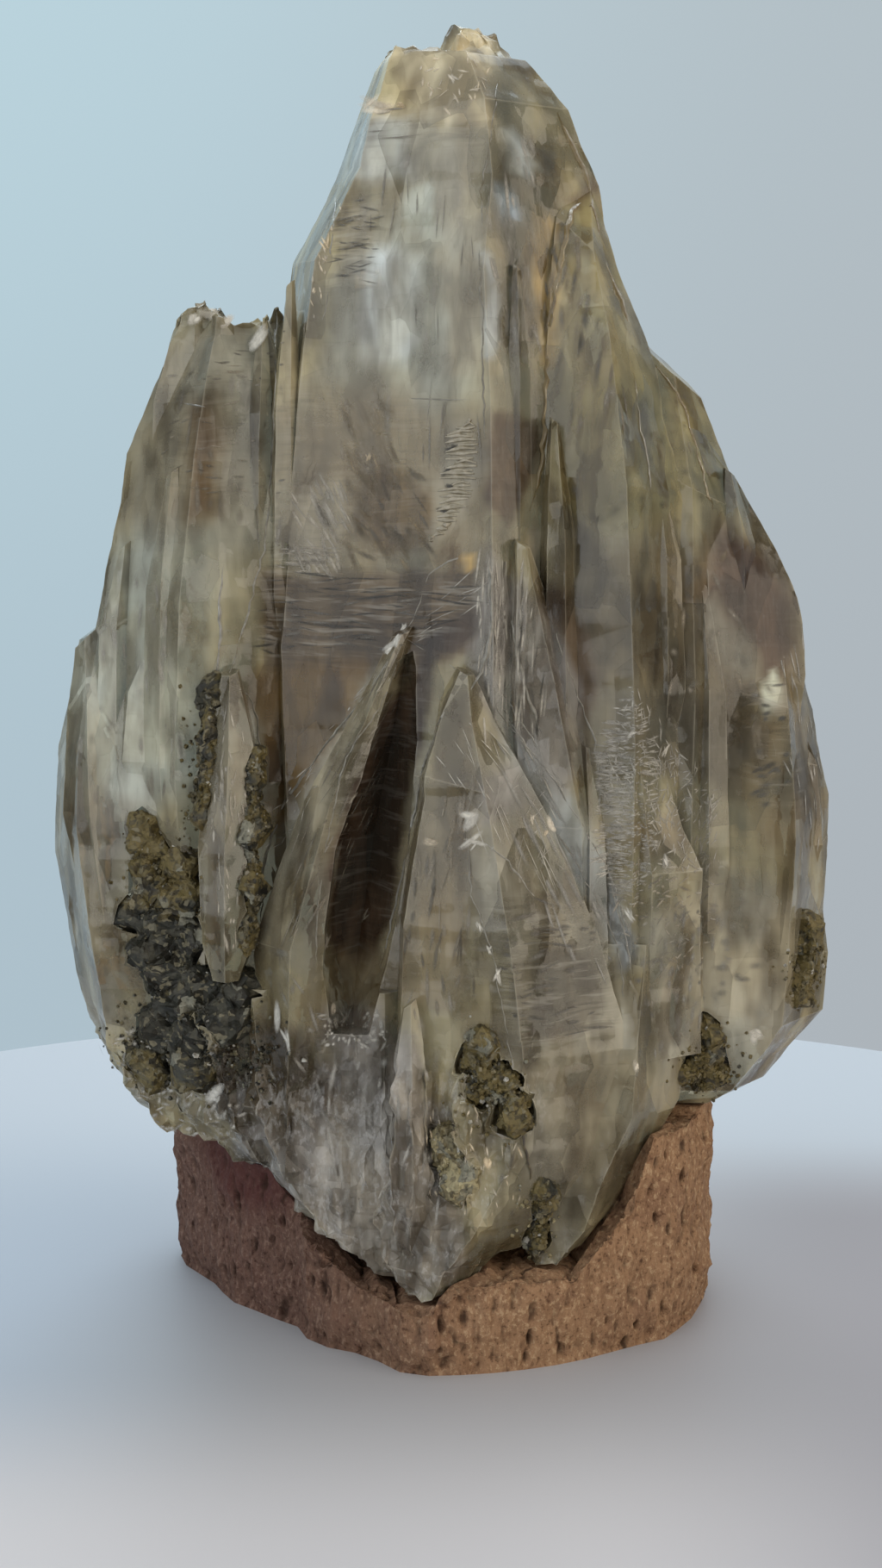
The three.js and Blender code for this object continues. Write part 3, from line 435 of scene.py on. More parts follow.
# Fields of fine strokes in the skin of the quartz: name, lean and its spread in degrees, how many, the
# shortest and longest, the narrowest and widest in mm, the darkest and palest tone, how golden, and
# corners.
HATCHES = [
    ("main face, pale streaks", 0, 5, 24, (2.5, 7), (0.5, 1.3), (0.36, 0.5), 0.1, [
        (-4.9, 75.9), (3.4, 77.2), (3.2, 95.6), (-5.5, 95.6), (-6.5, 88.4),
    ]),
    ("main face, dark streaks", 0, 4, 18, (2, 6), (0.06, 0.16), (0.14, 0.22), 0.2, [
        (-6.2, 86.4), (-2.8, 72.5), (3.4, 73.8), (3.2, 94.9), (-5.5, 94.3),
    ]),
    ("dark fringe of the sheet", 90, 10, 30, (0.8, 2.6), (0.07, 0.16), (0.07, 0.14), 0.1, [
        (-8.3, 86.8), (-5.4, 86.4), (-4.8, 92.8), (-8.1, 92.7),
    ]),
    ("lines under the cap", 90, 3, 16, (2, 5), (0.06, 0.14), (0.16, 0.5), 0.2, [
        (-7.4, 97.2), (-2.8, 97.1), (-2.8, 99.9), (-7.1, 100.1),
    ]),
    # painted highlights on the cap
    ("cap glints", -20, 40, 26, (0.5, 1.6), (0.08, 0.2), (0.5, 0.9), 0.4, [
        (-2.3, 100.6), (0.5, 99.4), (4.2, 100.7), (3.2, 103.5), (-2.1, 103.3),
    ]),
    ("facet, pale streaks", -8, 8, 34, (1.5, 5), (0.25, 0.7), (0.25, 0.45), 0.15, [
        (3.6, 94.9), (4.2, 80.5), (7.3, 80.5), (8.5, 91), (7.7, 98.1), (4, 100.1),
    ]),
    ("shoulder streaks, gold", 3, 7, 30, (2, 7), (0.25, 0.6), (0.18, 0.32), 0.6, [
        (7.7, 80.5), (9.3, 73.8), (14.7, 76.5), (12.6, 86.4), (8.3, 93),
    ]),
    ("shoulder streaks, dark", 2, 8, 22, (1.5, 5), (0.25, 0.6), (0.09, 0.16), 0.4, [
        (5.3, 75.2), (12.7, 73.8), (12.6, 83.2), (8.5, 91.7), (4.5, 89.1),
    ]),
    ("feathers, frosty", -32, 10, 60, (1.2, 4), (0.12, 0.34), (0.3, 0.5), 0.25, [
        (-11.7, 67.8), (-11.3, 64.1), (-8.5, 64.1), (-7.3, 67.8), (-7.7, 71.4), (-10.9, 70.5),
    ]),
    ("feathers, upper", -27, 9, 44, (1.6, 4.2), (0.2, 0.6), (0.22, 0.36), 0.6, [
        (-7.7, 73.2), (-5.9, 70.8), (-3.7, 72.5), (-4.2, 77.7), (-7.8, 76.7),
    ]),
    ("feathers, gold", -33, 14, 40, (1.2, 3.6), (0.2, 0.7), (0.12, 0.26), 0.9, [
        (-7, 64.7), (-0.8, 65.1), (-0.4, 71.2), (-2.8, 73.8), (-7.6, 72.5),
    ]),
    ("feathers, dark", -36, 14, 12, (1, 3), (0.15, 0.5), (0.07, 0.12), 0.6, [
        (-7.6, 64.4), (-0.5, 65.8), (-0.8, 72.5), (-8.1, 72.5),
    ]),
    ("ledge lines", 90, 6, 34, (1, 3.4), (0.06, 0.15), (0.26, 0.5), 0.3, [
        (-13.4, 63.9), (-8.7, 63.9), (-8.9, 66.2), (-11.9, 66.2),
    ]),
    ("smoky dashes", 90, 7, 56, (1.5, 6), (0.06, 0.16), (0.02, 0.06), 0.4, [
        (-14.5, 57.7), (-2.9, 57.6), (3, 61.7), (3.3, 64.1), (-13.4, 64.1),
    ]),
    # a painted sheen over the smoky band
    ("smoky sheen", 90, 9, 22, (1, 4), (0.08, 0.22), (0.1, 0.19), 0.2, [
        (-13.3, 58.9), (-7.7, 57.6), (-2.1, 59.3), (-1.5, 63), (-12.4, 62.4),
    ]),
    ("pillar streaks", 2, 5, 70, (1.2, 5), (0.08, 0.2), (0.34, 0.62), 0.2, [
        (2.7, 58.9), (3.3, 51.4), (8.8, 51.4), (6.3, 65.8), (3, 65.1),
    ]),
    ("pillar streaks, dark", 2, 6, 30, (1.2, 4), (0.08, 0.22), (0.05, 0.12), 0.3, [
        (4, 50.7), (8.8, 51.4), (6.7, 65.8), (3.3, 65.8),
    ]),
    ("needles of the front crystal", -38, 10, 34, (2, 6), (0.04, 0.09), (0.4, 0.7), 0.1, [
        (3.3, 42.3), (10.3, 38), (8.9, 44.4), (3.3, 54.8), (-0.8, 50),
    ]),
    ("needles, crossing", 40, 14, 20, (1.5, 4), (0.04, 0.08), (0.35, 0.6), 0.1, [
        (3.3, 41.6), (7.5, 40.2), (10.3, 43.7), (6.1, 47.9), (1.9, 45.8),
    ]),
    ("cool band streaks", -27, 7, 30, (2, 6), (0.15, 0.4), (0.24, 0.36), 0, [
        (6.1, 42.3), (12.5, 26.6), (15.7, 26.6), (14.7, 34.5), (6.1, 53.4), (4.3, 52.7),
    ]),
    ("front crystal, dark blocks", 88, 8, 44, (1, 4.4), (0.1, 0.34), (0.07, 0.15), 0.3, [
        (5.1, 26.6), (13.8, 26.6), (12.4, 38), (4.4, 38),
    ]),
    ("front crystal, left", 4, 10, 26, (1.5, 5), (0.12, 0.35), (0.2, 0.3), 0.45, [
        (-3.2, 28.1), (2.7, 28.1), (2.3, 47.9), (-2.4, 43.7),
    ]),
    ("front crystal, left shade", 5, 9, 24, (1, 4), (0.1, 0.28), (0.08, 0.15), 0.5, [
        (-3.5, 26.6), (2.8, 26.6), (2.6, 43.7), (-2.6, 40.9),
    ]),
    ("blade streaks", 36, 7, 70, (1.4, 5), (0.07, 0.2), (0.16, 0.34), 0.35, [
        (-12.7, 34.5), (-9.8, 34.5), (-6.1, 43.7), (-2.6, 57.2), (-3.4, 58.7), (-12.6, 40.9),
    ]),
    ("blade needles", 40, 22, 46, (0.5, 2.2), (0.04, 0.1), (0.36, 0.7), 0.1, [
        (-13.6, 40.9), (-11.2, 44.4), (-3.4, 56.9), (-4.3, 57.6), (-14.3, 43.7),
    ]),
    ("brow needles", 62, 12, 14, (1.5, 5), (0.04, 0.1), (0.34, 0.6), 0.1, [
        (-2.2, 58.3), (3.4, 61.7), (3.3, 64.4), (-3.4, 58.8),
    ]),
    ("foot wisps", 3, 12, 54, (1, 4), (0.2, 0.8), (0.26, 0.42), 0.05, [
        (-8.7, 12), (-4.4, 6.1), (-0.5, 6.1), (0, 17.2), (-0.5, 28.1), (-5, 28.8), (-9.9, 22.3),
    ]),
    ("foot wisps, left", -24, 22, 34, (1, 3.5), (0.12, 0.4), (0.16, 0.32), 0.1, [
        (-12.9, 14.3), (-5.8, 9.1), (-6.5, 19.4), (-7.9, 28.1), (-12.7, 31.6), (-17.6, 20.1),
    ]),
    # painted highlights on the foot
    ("foot glints, gold", 3, 20, 46, (0.4, 1.6), (0.06, 0.16), (0.4, 0.8), 0.5, [
        (-0.9, 9.1), (7, 12), (7.1, 17.2), (3.4, 20.8), (-1.7, 20.1),
    ]),
    ("foot shade", 2, 10, 26, (0.8, 3), (0.2, 0.6), (0.07, 0.13), 0.5, [
        (-5.8, 7.6), (3.4, 6.9), (7.7, 12), (6.2, 23.7), (-7.9, 23.7),
    ]),
    ("etched spire", 88, 7, 640, (0.7, 2.4), (0.08, 0.16), (0.32, 0.62), 0.12, [
        (13.4, 51.4), (12.6, 47.9), (12.4, 40.9), (15.4, 37.3),
        (17, 40.9), (17.3, 47.2), (16.5, 51.2), (15.5, 55.1),
    ]),
    ("etched spire, points", -38, 24, 90, (0.8, 2), (0.07, 0.14), (0.34, 0.66), 0.1, [
        (13.2, 50.8), (13, 45.8), (17.9, 43.7), (19.9, 49.3), (15.5, 55.1),
    ]),
    ("etched shoulder", 38, 34, 170, (0.7, 2), (0.07, 0.14), (0.28, 0.56), 0.15, [
        (17, 47.9), (17.2, 40.2), (21.8, 40.2), (22.1, 45.8), (20.3, 48.4), (17.8, 50.2),
    ]),
    ("etched base", 80, 30, 150, (0.5, 1.8), (0.08, 0.2), (0.22, 0.5), 0.35, [
        (15.1, 33.8), (20.2, 31.6), (22.6, 35.2), (22.1, 41.6), (13.1, 41.6),
    ]),
    ("pale blocks of the right foot", 0, 6, 50, (0.8, 3), (0.25, 0.8), (0.24, 0.4), 0.08, [
        (16, 23.7), (20.2, 26.6), (24.3, 33.1), (22.1, 38), (16.2, 36.6),
    ]),
    ("grey blocks of the right foot", 90, 6, 30, (0.8, 2.4), (0.3, 0.8), (0.17, 0.24), 0.1, [
        (15.7, 24.5), (20.2, 25.9), (25.7, 31.6), (24.9, 38), (15.2, 36.6),
    ]),
    ("wing flecks, pale", -18, 26, 50, (0.8, 3), (0.3, 0.9), (0.18, 0.32), 0.45, [
        (18.4, 54.8), (25.3, 52.1), (26.7, 55.5), (21.7, 64.4), (16.9, 65.8),
    ]),
    ("wing flecks, dark", -8, 26, 34, (0.8, 3), (0.5, 1.5), (0.06, 0.11), 0.4, [
        (10, 71.2), (17, 61.7), (26.7, 54.8), (28.6, 61.7), (23.6, 69.8), (16.7, 79.8), (11.3, 77.2),
    ]),
    ("wing flecks, gold", -6, 20, 34, (0.5, 2.2), (0.3, 0.8), (0.16, 0.28), 0.9, [
        (17.5, 68.5), (22.4, 65.1), (25, 68.5), (19.4, 79.2), (15.4, 76.5),
    ]),
    ("right edge lines", -8, 8, 36, (1, 4), (0.07, 0.18), (0.3, 0.6), 0.05, [
        (28.1, 47.9), (30.2, 36.6), (30.7, 43.7), (28.8, 58.9), (27, 57.6),
    ]),
    ("right edge shade", 80, 14, 24, (0.6, 2.2), (0.2, 0.5), (0.1, 0.16), 0.1, [
        (24.6, 49.3), (26.2, 45.1), (28.9, 46.5), (27, 55.5), (24.5, 54.8),
    ]),
    ("left shoulder lines", 88, 8, 60, (0.8, 2.6), (0.07, 0.18), (0.1, 0.34), 0.45, [
        (-22.5, 71.2), (-13, 69.8), (-11.6, 73.8), (-12.2, 83.2), (-21.7, 79.2),
    ]),
    ("left shoulder streaks", 0, 6, 26, (1.5, 5), (0.3, 0.9), (0.16, 0.28), 0.35, [
        (-22.6, 65.8), (-12.4, 65.8), (-12.3, 80.5), (-21.7, 77.2),
    ]),
    ("left wing streaks", -3, 8, 30, (1, 4.6), (0.3, 1), (0.32, 0.48), 0.1, [
        (-27.7, 52.1), (-21.4, 54.8), (-22.6, 65.8), (-26.7, 64.4),
    ]),
    ("left wing, low streaks", -2, 8, 26, (1, 4), (0.3, 0.9), (0.18, 0.32), 0.3, [
        (-29.7, 40.9), (-25.1, 40.9), (-19.5, 43.7), (-20.1, 54.8), (-30.1, 50.7),
    ]),
    ("finger crystal streaks", -2, 10, 50, (0.6, 2.6), (0.08, 0.24), (0.36, 0.6), 0.25, [
        (-18.6, 43.7), (-17.5, 33.1), (-15.5, 35.2), (-15.6, 52.7), (-17.6, 52.7),
    ]),
    ("ragged foot edge", 60, 40, 120, (0.5, 1.6), (0.12, 0.4), (0.3, 0.7), 0.05, [
        (-26.2, 20.8), (-22.8, 18.5), (-16.4, 17.5), (-15.7, 20.1), (-25.4, 27.3), (-28.2, 26.6),
    ]),
    # painted highlights along the bevel
    ("bevel sparks", -12, 22, 30, (0.4, 1.1), (0.08, 0.18), (0.55, 0.95), 0.45, [
        (-10.8, 83), (-9.9, 82.9), (-7.6, 93.8), (-8.3, 94),
    ]),
    ("crust at the hollow's foot", 55, 45, 90, (0.4, 1.5), (0.1, 0.3), (0.26, 0.6), 0.12, [
        (-10, 28.2), (-9.8, 25.8), (-4.6, 25.5), (-4.2, 28.1), (-5.8, 28.6),
    ]),
]

# Painted highlights (glints and sparks), white chips and crust, and small dark gaps painted as shade: name,
# x, z, half length, half width, lean in degrees, tone and how golden.
GLINTS = [
    ("cap bar", -4.9, 99.9, 1.7, 0.4, 84, 1, 0.3),
    ("cap bar, right", -3.1, 99.9, 0.5, 0.2, 90, 0.8, 0.7),
    ("cap spark", 0.9, 101.9, 0.55, 0.16, -30, 1, 0.2),
    ("cap spark, pink", 2.6, 101.1, 0.5, 0.12, 80, 0.8, 0.3),
    ("bevel spark, high", -8.8, 90.9, 0.8, 0.1, -14, 0.8, 0.5),
    ("bevel spark", -9, 89.6, 0.7, 0.12, -14, 0.9, 0.7),
    ("bevel spark, low", -10.6, 83, 0.9, 0.12, -10, 0.85, 0.2),
    ("notch chip", -14.3, 82.4, 1.4, 0.5, 80, 1, 0.05),
    ("notch chip, small", -13.4, 83.2, 0.8, 0.35, 70, 0.95, 0.05),
    ("feather spark", -5.7, 73.1, 0.5, 0.12, 10, 0.85, 0.6),
    ("crossing spark", -3.5, 58.8, 0.7, 0.3, 30, 1, 0),
    ("crossing spark, low", -4.1, 58, 0.8, 0.3, 40, 0.95, 0),
    ("crossing spark, far", -2.9, 59.7, 0.5, 0.16, 20, 0.9, 0),
    ("window bar", 2.4, 44.3, 1.1, 0.45, 70, 1, 0.1),
    ("window bar, left", -0.8, 42.4, 0.9, 0.3, 85, 0.75, 0.5),
    ("window bar, low", 2.5, 42.6, 1.3, 0.25, 80, 0.9, 0.1),
    ("core spark", 8.9, 43.8, 0.7, 0.35, -20, 0.95, 0.25),
    ("core spark, ring", 8.4, 43.2, 0.35, 0.2, 40, 0.95, 0.5),
    ("core spark, up", 7.3, 44.4, 0.5, 0.14, 30, 0.9, 0.3),
    ("wing spark", 17.9, 49.8, 0.8, 0.16, 30, 0.95, 0.1),
    ("spire spark", 15.2, 51.2, 0.6, 0.2, 60, 0.9, 0.1),
    ("streak spark", 15.3, 36.5, 0.8, 0.16, -12, 0.95, 0),
    ("foot glint", 0.3, 16.4, 1.2, 0.35, 10, 0.95, 0.7),
    ("foot glint, low", 1, 14.1, 0.7, 0.3, 0, 0.95, 0.5),
    ("foot glint, right", 3.8, 15.7, 0.6, 0.3, 0, 0.95, 0.6),
    ("pocket glint", 3.7, 24.6, 0.5, 0.2, 40, 0.85, 0.5),
    ("right glint", 15.9, 23.9, 0.6, 0.25, -10, 1, 0.3),
    ("right chip", 25.7, 26.6, 0.8, 0.4, -35, 0.95, 0.1),
    ("seam spark", -14.6, 47.9, 0.6, 0.18, 20, 0.9, 0.6),
    ("mica spark", -21.1, 35.8, 0.8, 0.45, 75, 0.95, 0.25),
    ("foot crust", -13.3, 27.9, 1.3, 0.5, -22, 0.8, 0),
    ("foot crust, low", -12.5, 26, 1.2, 0.3, -32, 0.85, 0),
    ("ragged crust", -18.5, 21.7, 1.6, 0.5, 60, 0.8, 0),
    ("streak above spire", 18, 40.9, 0.7, 0.2, 0, 0.8, 0),
    ("ridge spark", 3.1, 35.6, 0.5, 0.12, -30, 0.9, 0.1),
    ("ridge spark, middle", 3.9, 33.6, 0.5, 0.14, -10, 0.9, 0.1),
    ("ridge spark, low", 4.7, 31.4, 0.8, 0.18, 10, 0.95, 0.15),
    ("hollow fleck", -6.1, 36.5, 0.8, 0.12, 75, 0.75, 0.4),
    ("hollow chip", -9.3, 34.2, 0.8, 0.2, 10, 0.5, 0.3),
    ("chip at the hollow's foot", -8.8, 28.6, 0.6, 0.35, 70, 0.8, 0.3),
    # dark gaps between the ribs of the suture: painted shade
    ("suture gap one", 0.8, 73.8, 0.75, 0.17, 84, 0.05, 0.4),
    ("suture gap two", 0.5, 72, 0.8, 0.17, 84, 0.05, 0.4),
    ("suture gap three", 0.7, 70.8, 0.5, 0.17, 84, 0.05, 0.4),
    ("suture gap four", 0.1, 69, 0.6, 0.17, 84, 0.05, 0.4),
    ("shoulder crust one", -18, 84.1, 1.1, 0.4, 70, 0.9, 0.1),
    ("shoulder crust two", -16.8, 83.7, 0.9, 0.4, 50, 0.9, 0.1),
    ("shoulder crust four", -19.2, 83.7, 0.7, 0.4, 30, 0.9, 0.1),
]


# ---------------------------------------------------------------- sizes and colours that a user would change


class QuartzSettings(bpy.types.PropertyGroup):
    cell: FloatProperty(
        name="Face cell",
        description="Pitch of the cells that the crystal faces are cut into",
        default=0.66 * MM,
        unit="LENGTH",
        precision=5,
    )
    relief: FloatProperty(
        name="Growth relief",
        description="Height of the growth lines on the crystal faces",
        default=0.10 * MM,
        unit="LENGTH",
        precision=5,
    )
    refraction: FloatProperty(name="IOR", description="Index of refraction of quartz", default=QUARTZ_IOR)
    absorption: FloatProperty(
        name="Smokiness", description="Density of the absorption inside the crystal, per metre", default=40.0
    )
    smoke: FloatVectorProperty(
        name="Smoke colour",
        description="Colour that light keeps inside the crystal",
        subtype="COLOR",
        default=(0.62, 0.50, 0.28),
    )
    haze: FloatVectorProperty(
        name="Haze colour",
        description="Colour of the haze on a plain face",
        subtype="COLOR",
        default=(0.29, 0.25, 0.15),
    )
    haze_amount: FloatProperty(
        name="Haze", description="Share of haze on a plain face", default=0.52, subtype="FACTOR", min=0, max=1
    )
    veils: IntProperty(name="Inner veils", description="Healed fractures inside the crystal", default=70)


class MicaSettings(bpy.types.PropertyGroup):
    swell: FloatProperty(
        name="Pocket fill",
        description="How far the mica swells into the gap of its pocket",
        default=0.45 * MM,
        unit="LENGTH",
        precision=5,
    )
    flake: FloatProperty(
        name="Flake size",
        description="Half width of the largest mica flake",
        default=0.36 * MM,
        unit="LENGTH",
        precision=5,
    )
    dark: FloatVectorProperty(
        name="Dark mica",
        description="Colour of the dark flakes",
        subtype="COLOR",
        default=(0.021, 0.021, 0.014),
    )
    ochre: FloatVectorProperty(
        name="Ochre",
        description="Colour of the weathered mica",
        subtype="COLOR",
        default=(0.12, 0.092, 0.03),
    )
    silver: FloatVectorProperty(
        name="Silver",
        description="Colour of the bright flakes",
        subtype="COLOR",
        default=(0.52, 0.50, 0.44),
    )


class CorkSettings(bpy.types.PropertyGroup):
    cell: FloatProperty(
        name="Cork cell",
        description="Pitch of the cells that the cork is cut into",
        default=0.38 * MM,
        unit="LENGTH",
        precision=5,
    )
    pore: FloatProperty(
        name="Pore depth",
        description="Depth of the largest pores",
        default=0.7 * MM,
        unit="LENGTH",
        precision=5,
    )
    # the colour of the lit right side of the cork: painted light
    light: FloatVectorProperty(
        name="Light cork",
        description="Colour of the cork on the right",
        subtype="COLOR",
        default=(0.34, 0.20, 0.112),
    )
    # also the colour of the painted shade in the hollows and where the cork meets the stone
    dark: FloatVectorProperty(
        name="Dark cork",
        description="Colour inside the pores",
        subtype="COLOR",
        default=(0.040, 0.021, 0.014),
    )


class StageSettings(bpy.types.PropertyGroup):
    radius: FloatProperty(
        name="Turntable radius", description="Radius of the round floor", default=101 * MM, unit="LENGTH"
    )
    floor: FloatVectorProperty(
        name="Floor", description="Colour of the floor", subtype="COLOR", default=(0.50, 0.50, 0.52)
    )


# ---------------------------------------------------------------- shader maths


class Value:
    """A socket of a node. Arithmetic on it adds Math nodes, so a formula is written as an expression."""

    def __init__(self, graph, socket):
        self.graph = graph
        self.socket = socket

    def math(self, operation, *operands):
        node = self.graph.add("ShaderNodeMath", {"operation": operation}, dict(enumerate(operands)))
        return Value(self.graph, node.outputs[0])

    def __add__(self, other):
        return self.math("ADD", self, other)

    def __radd__(self, other):
        return self.math("ADD", other, self)

    def __sub__(self, other):
        return self.math("SUBTRACT", self, other)

    def __rsub__(self, other):
        return self.math("SUBTRACT", other, self)

    def __mul__(self, other):
        return self.math("MULTIPLY", self, other)

    def __rmul__(self, other):
        return self.math("MULTIPLY", other, self)

    def __pow__(self, other):
        return self.math("POWER", self, other)

    def least(self, other):
        return self.math("MINIMUM", self, other)

    def smooth(self, low, high):
        """0 below low, 1 above high, and a smooth step between; low may be the larger."""
        if low > high:
            return 1 - self.smooth(high, low)
        settings = {"interpolation_type": "SMOOTHSTEP"}
        inputs = {"Value": self, "From Min": low, "From Max": high}
        return self.graph.value("ShaderNodeMapRange", settings, inputs)


class Graph:
    """The node tree of a material or of the world, with the few calls that the finishes are written in."""

    def __init__(self, owner):
        owner.use_nodes = True
        self.owner = owner
        self.tree = owner.node_tree
        self.tree.nodes.clear()
        self.place = self.value("ShaderNodeTexCoord", {}, {}, "Object")

    def add(self, kind, settings, inputs):
        node = self.tree.nodes.new(kind)
        for key, setting in settings.items():
            setattr(node, key, setting)
        for key, value in inputs.items():
            if isinstance(value, Value):
                self.tree.links.new(value.socket, node.inputs[key])
            else:
                node.inputs[key].default_value = value
        return node

    def value(self, kind, settings, inputs, output=0):
        return Value(self, self.add(kind, settings, inputs).outputs[output])

    def mix(self, factor, first, second, blend="MIX"):
        """A colour mixed from two; each is a colour or a value."""
        first, second = (c if isinstance(c, Value) else (*c[:3], 1) for c in (first, second))
        settings = {"data_type": "RGBA", "blend_type": blend, "clamp_factor": True}
        return self.value("ShaderNodeMix", settings, {0: factor, 6: first, 7: second}, 2)

    def times(self, first, second):
        """The product of two colours."""
        return self.mix(1.0, first, second, "MULTIPLY")

    def vector(self, operation, first, second, output=0):
        """Vector Math on two vectors; each is a value, a vector, or a number for all three axes."""
        operands = [(item,) * 3 if isinstance(item, (int, float)) else item for item in (first, second)]
        return self.value("ShaderNodeVectorMath", {"operation": operation}, dict(enumerate(operands)), output)

    def squeezed(self, place, stretch):
        """The place for a pattern that is to come out longer along an axis."""
        return self.vector("MULTIPLY", place, tuple(1 / longer for longer in stretch))

    def warped(self, place, size, reach):
        """The place pushed about by up to reach, in waves of the given size."""
        inputs = {"Vector": place, "Scale": 1 / size, "Detail": 0}
        colour = self.value("ShaderNodeTexNoise", {}, inputs, "Color")
        push = self.vector("MULTIPLY", self.vector("SUBTRACT", colour, 0.5), 2 * reach)
        return self.vector("ADD", place, push)

    def noise(self, size, detail=3.0, stretch=(1, 1, 1), rough=0.55, place=None, shift=0.0):
        """Noise from 0 to 1 with grains of the given size; stretch makes them longer along an axis."""
        vector = self.squeezed(place or self.place, stretch)
        if shift:
            vector = self.vector("ADD", vector, shift)
        inputs = {"Vector": vector, "Scale": 1 / size, "Detail": detail, "Roughness": rough}
        return self.value("ShaderNodeTexNoise", {}, inputs)

    def blocks(self, size, stretch, place):
        """Square-cornered cells: a number from 0 to 1 for each cell, and the height of its tilted face."""
        vector = self.squeezed(place, stretch)
        inputs = {"Vector": vector, "Scale": 1 / size}
        node = self.add("ShaderNodeTexVoronoi", {"feature": "F1", "distance": "CHEBYCHEV"}, inputs)
        colour, centre = Value(self, node.outputs["Color"]), Value(self, node.outputs["Position"])
        pick = self.value("ShaderNodeSeparateColor", {}, {0: colour})
        slope = self.vector("SUBTRACT", colour, 0.5)
        arm = self.vector("SUBTRACT", vector, centre)
        return pick, self.vector("DOT_PRODUCT", arm, slope, "Value")

    def zone(self, place, centre, half):
        """1 inside an ellipsoid, fading to 0 outside it."""
        inner, outer = 0.55, 1.15  # where the fade starts and ends, as shares of the half axes
        inputs = {"Vector": place, "Location": centre, "Scale": half}
        centred = self.value("ShaderNodeMapping", {"vector_type": "TEXTURE"}, inputs)
        length = self.value("ShaderNodeVectorMath", {"operation": "LENGTH"}, {0: centred}, "Value")
        return length.smooth(outer, inner)

    def attribute(self, name, output="Fac"):
        return self.value("ShaderNodeAttribute", {"attribute_name": name}, {}, output)

    def bump(self, height, distance, strength=1.0):
        inputs = {"Height": height, "Distance": distance, "Strength": strength}
        return self.value("ShaderNodeBump", {}, inputs)

    def principled(self, inputs):
        return self.value("ShaderNodeBsdfPrincipled", {}, inputs)

    def finish(self, surface, volume=None):
        world = isinstance(self.owner, bpy.types.World)
        kind = "ShaderNodeOutputWorld" if world else "ShaderNodeOutputMaterial"
        inputs = {"Surface": surface}
        if volume:
            inputs["Volume"] = volume
        self.add(kind, {}, inputs)
        return self.owner


# ---------------------------------------------------------------- finishes


def quartz_material(settings):
    """Smoky quartz: clear glass under haze, with growth lines, stepped blocks, wisps and frost, and a painted
    highlight along its sharp edges.
    """
    g = Graph(bpy.data.materials.new("Quartz"))
    tone = g.attribute("tone", "Color")
    share = g.attribute("share")
    frost = g.attribute("frost")
    edges = g.attribute("edge") ** 6
    upright, level = g.attribute("upright"), g.attribute("level")
    place = g.warped(g.place, 5 * MM, 0.5 * MM)

    columns = g.noise(2.4 * MM, 2, (1, 1, 2.6), 0.5, place=place)
    clouds = g.noise(5.5 * MM, 2, (1, 1, 1.4), 0.55, shift=1.7)
    warmth = g.noise(4.2 * MM, 2, (1, 1, 2.0), 0.5, shift=9.1)
    grain = g.noise(0.55 * MM, 2, (1, 1, 1.8), 0.72, shift=5.3)
    fine = g.noise(0.5 * MM, 2, (1, 1, 9), 0.6, place=place, shift=3.1)
    dashes = g.noise(0.5 * MM, 2, (9, 9, 1), 0.62, place=place, shift=7.7)
    block, block_tilt = g.blocks(4.6 * MM, (1, 1, 2.3), place)
    chip, chip_tilt = g.blocks(1.5 * MM, (1, 1, 1.9), place)

    step = block.smooth(0.25, 0.75) * 0.7 + chip * 0.3
    pale = fine.smooth(0.5, 0.68) * upright + dashes.smooth(0.52, 0.68) * level
    deep = fine.smooth(0.48, 0.34) * upright + dashes.smooth(0.48, 0.36) * level
    wisps = (clouds * 0.4 + grain * 0.6 + frost * 0.07).smooth(0.56, 0.68)
    glow = columns * 0.6 + clouds * 0.4

    colour = g.times(tone, g.mix(glow.smooth(0.36, 0.64), (0.52, 0.49, 0.45), (1.5, 1.52, 1.54)))
    colour = g.times(colour, g.mix(step, (0.74, 0.73, 0.71), (1.24, 1.24, 1.24)))
    colour = g.times(colour, g.mix(warmth.smooth(0.38, 0.62), (0.97, 1.0, 1.05), (1.03, 1.0, 0.93)))
    colour = g.mix(pale.least(1.0) * 0.45, colour, g.mix(0.5, tone, (0.62, 0.61, 0.54)))
    colour = g.mix(deep.least(1.0) * 0.6, colour, g.times(tone, (0.34, 0.31, 0.27)))
    colour = g.mix(wisps * (0.05 + frost * 0.28), colour, (0.46, 0.45, 0.44))
    # sharp convex edges paler and more golden: a painted highlight along the edges, partly frost on them
    colour = g.mix(edges * 0.6, colour, g.mix(0.5, tone, (0.62, 0.58, 0.47)))
    haze = share * (0.86 + glow * 0.3 + step * 0.15)
    haze = haze + frost * (0.1 + wisps * 0.15) + (edges + pale) * 0.15

    ripple = fine * upright + dashes * level + grain * (0.12 + frost * 0.4)
    facets = block_tilt * 0.17 + chip_tilt * 0.12
    ripple_height = 0.038 * MM
    normal = g.bump(facets + ripple * ripple_height, 1.0)
    clear = g.principled(
        {
            "Base Color": g.mix(0.15, g.attribute("tint", "Color"), (0.9, 0.88, 0.8)),
            "Roughness": 0.03 + wisps * 0.15 + frost * 0.12,
            "IOR": settings.refraction,
            "Transmission Weight": 1.0,
            "Normal": normal,
        }
    )
    body = g.principled(
        {
            "Base Color": colour,
            "Roughness": 0.16 + glow * 0.12 + frost * 0.2,
            "IOR": settings.refraction,
            "Specular IOR Level": 0.4,
            "Normal": normal,
        }
    )
    surface = g.value("ShaderNodeMixShader", {}, {0: haze.least(0.95), 1: clear, 2: body})
    absorption = {"Color": (*settings.smoke, 1), "Density": settings.absorption}
    return g.finish(surface, g.value("ShaderNodeVolumeAbsorption", {}, absorption))


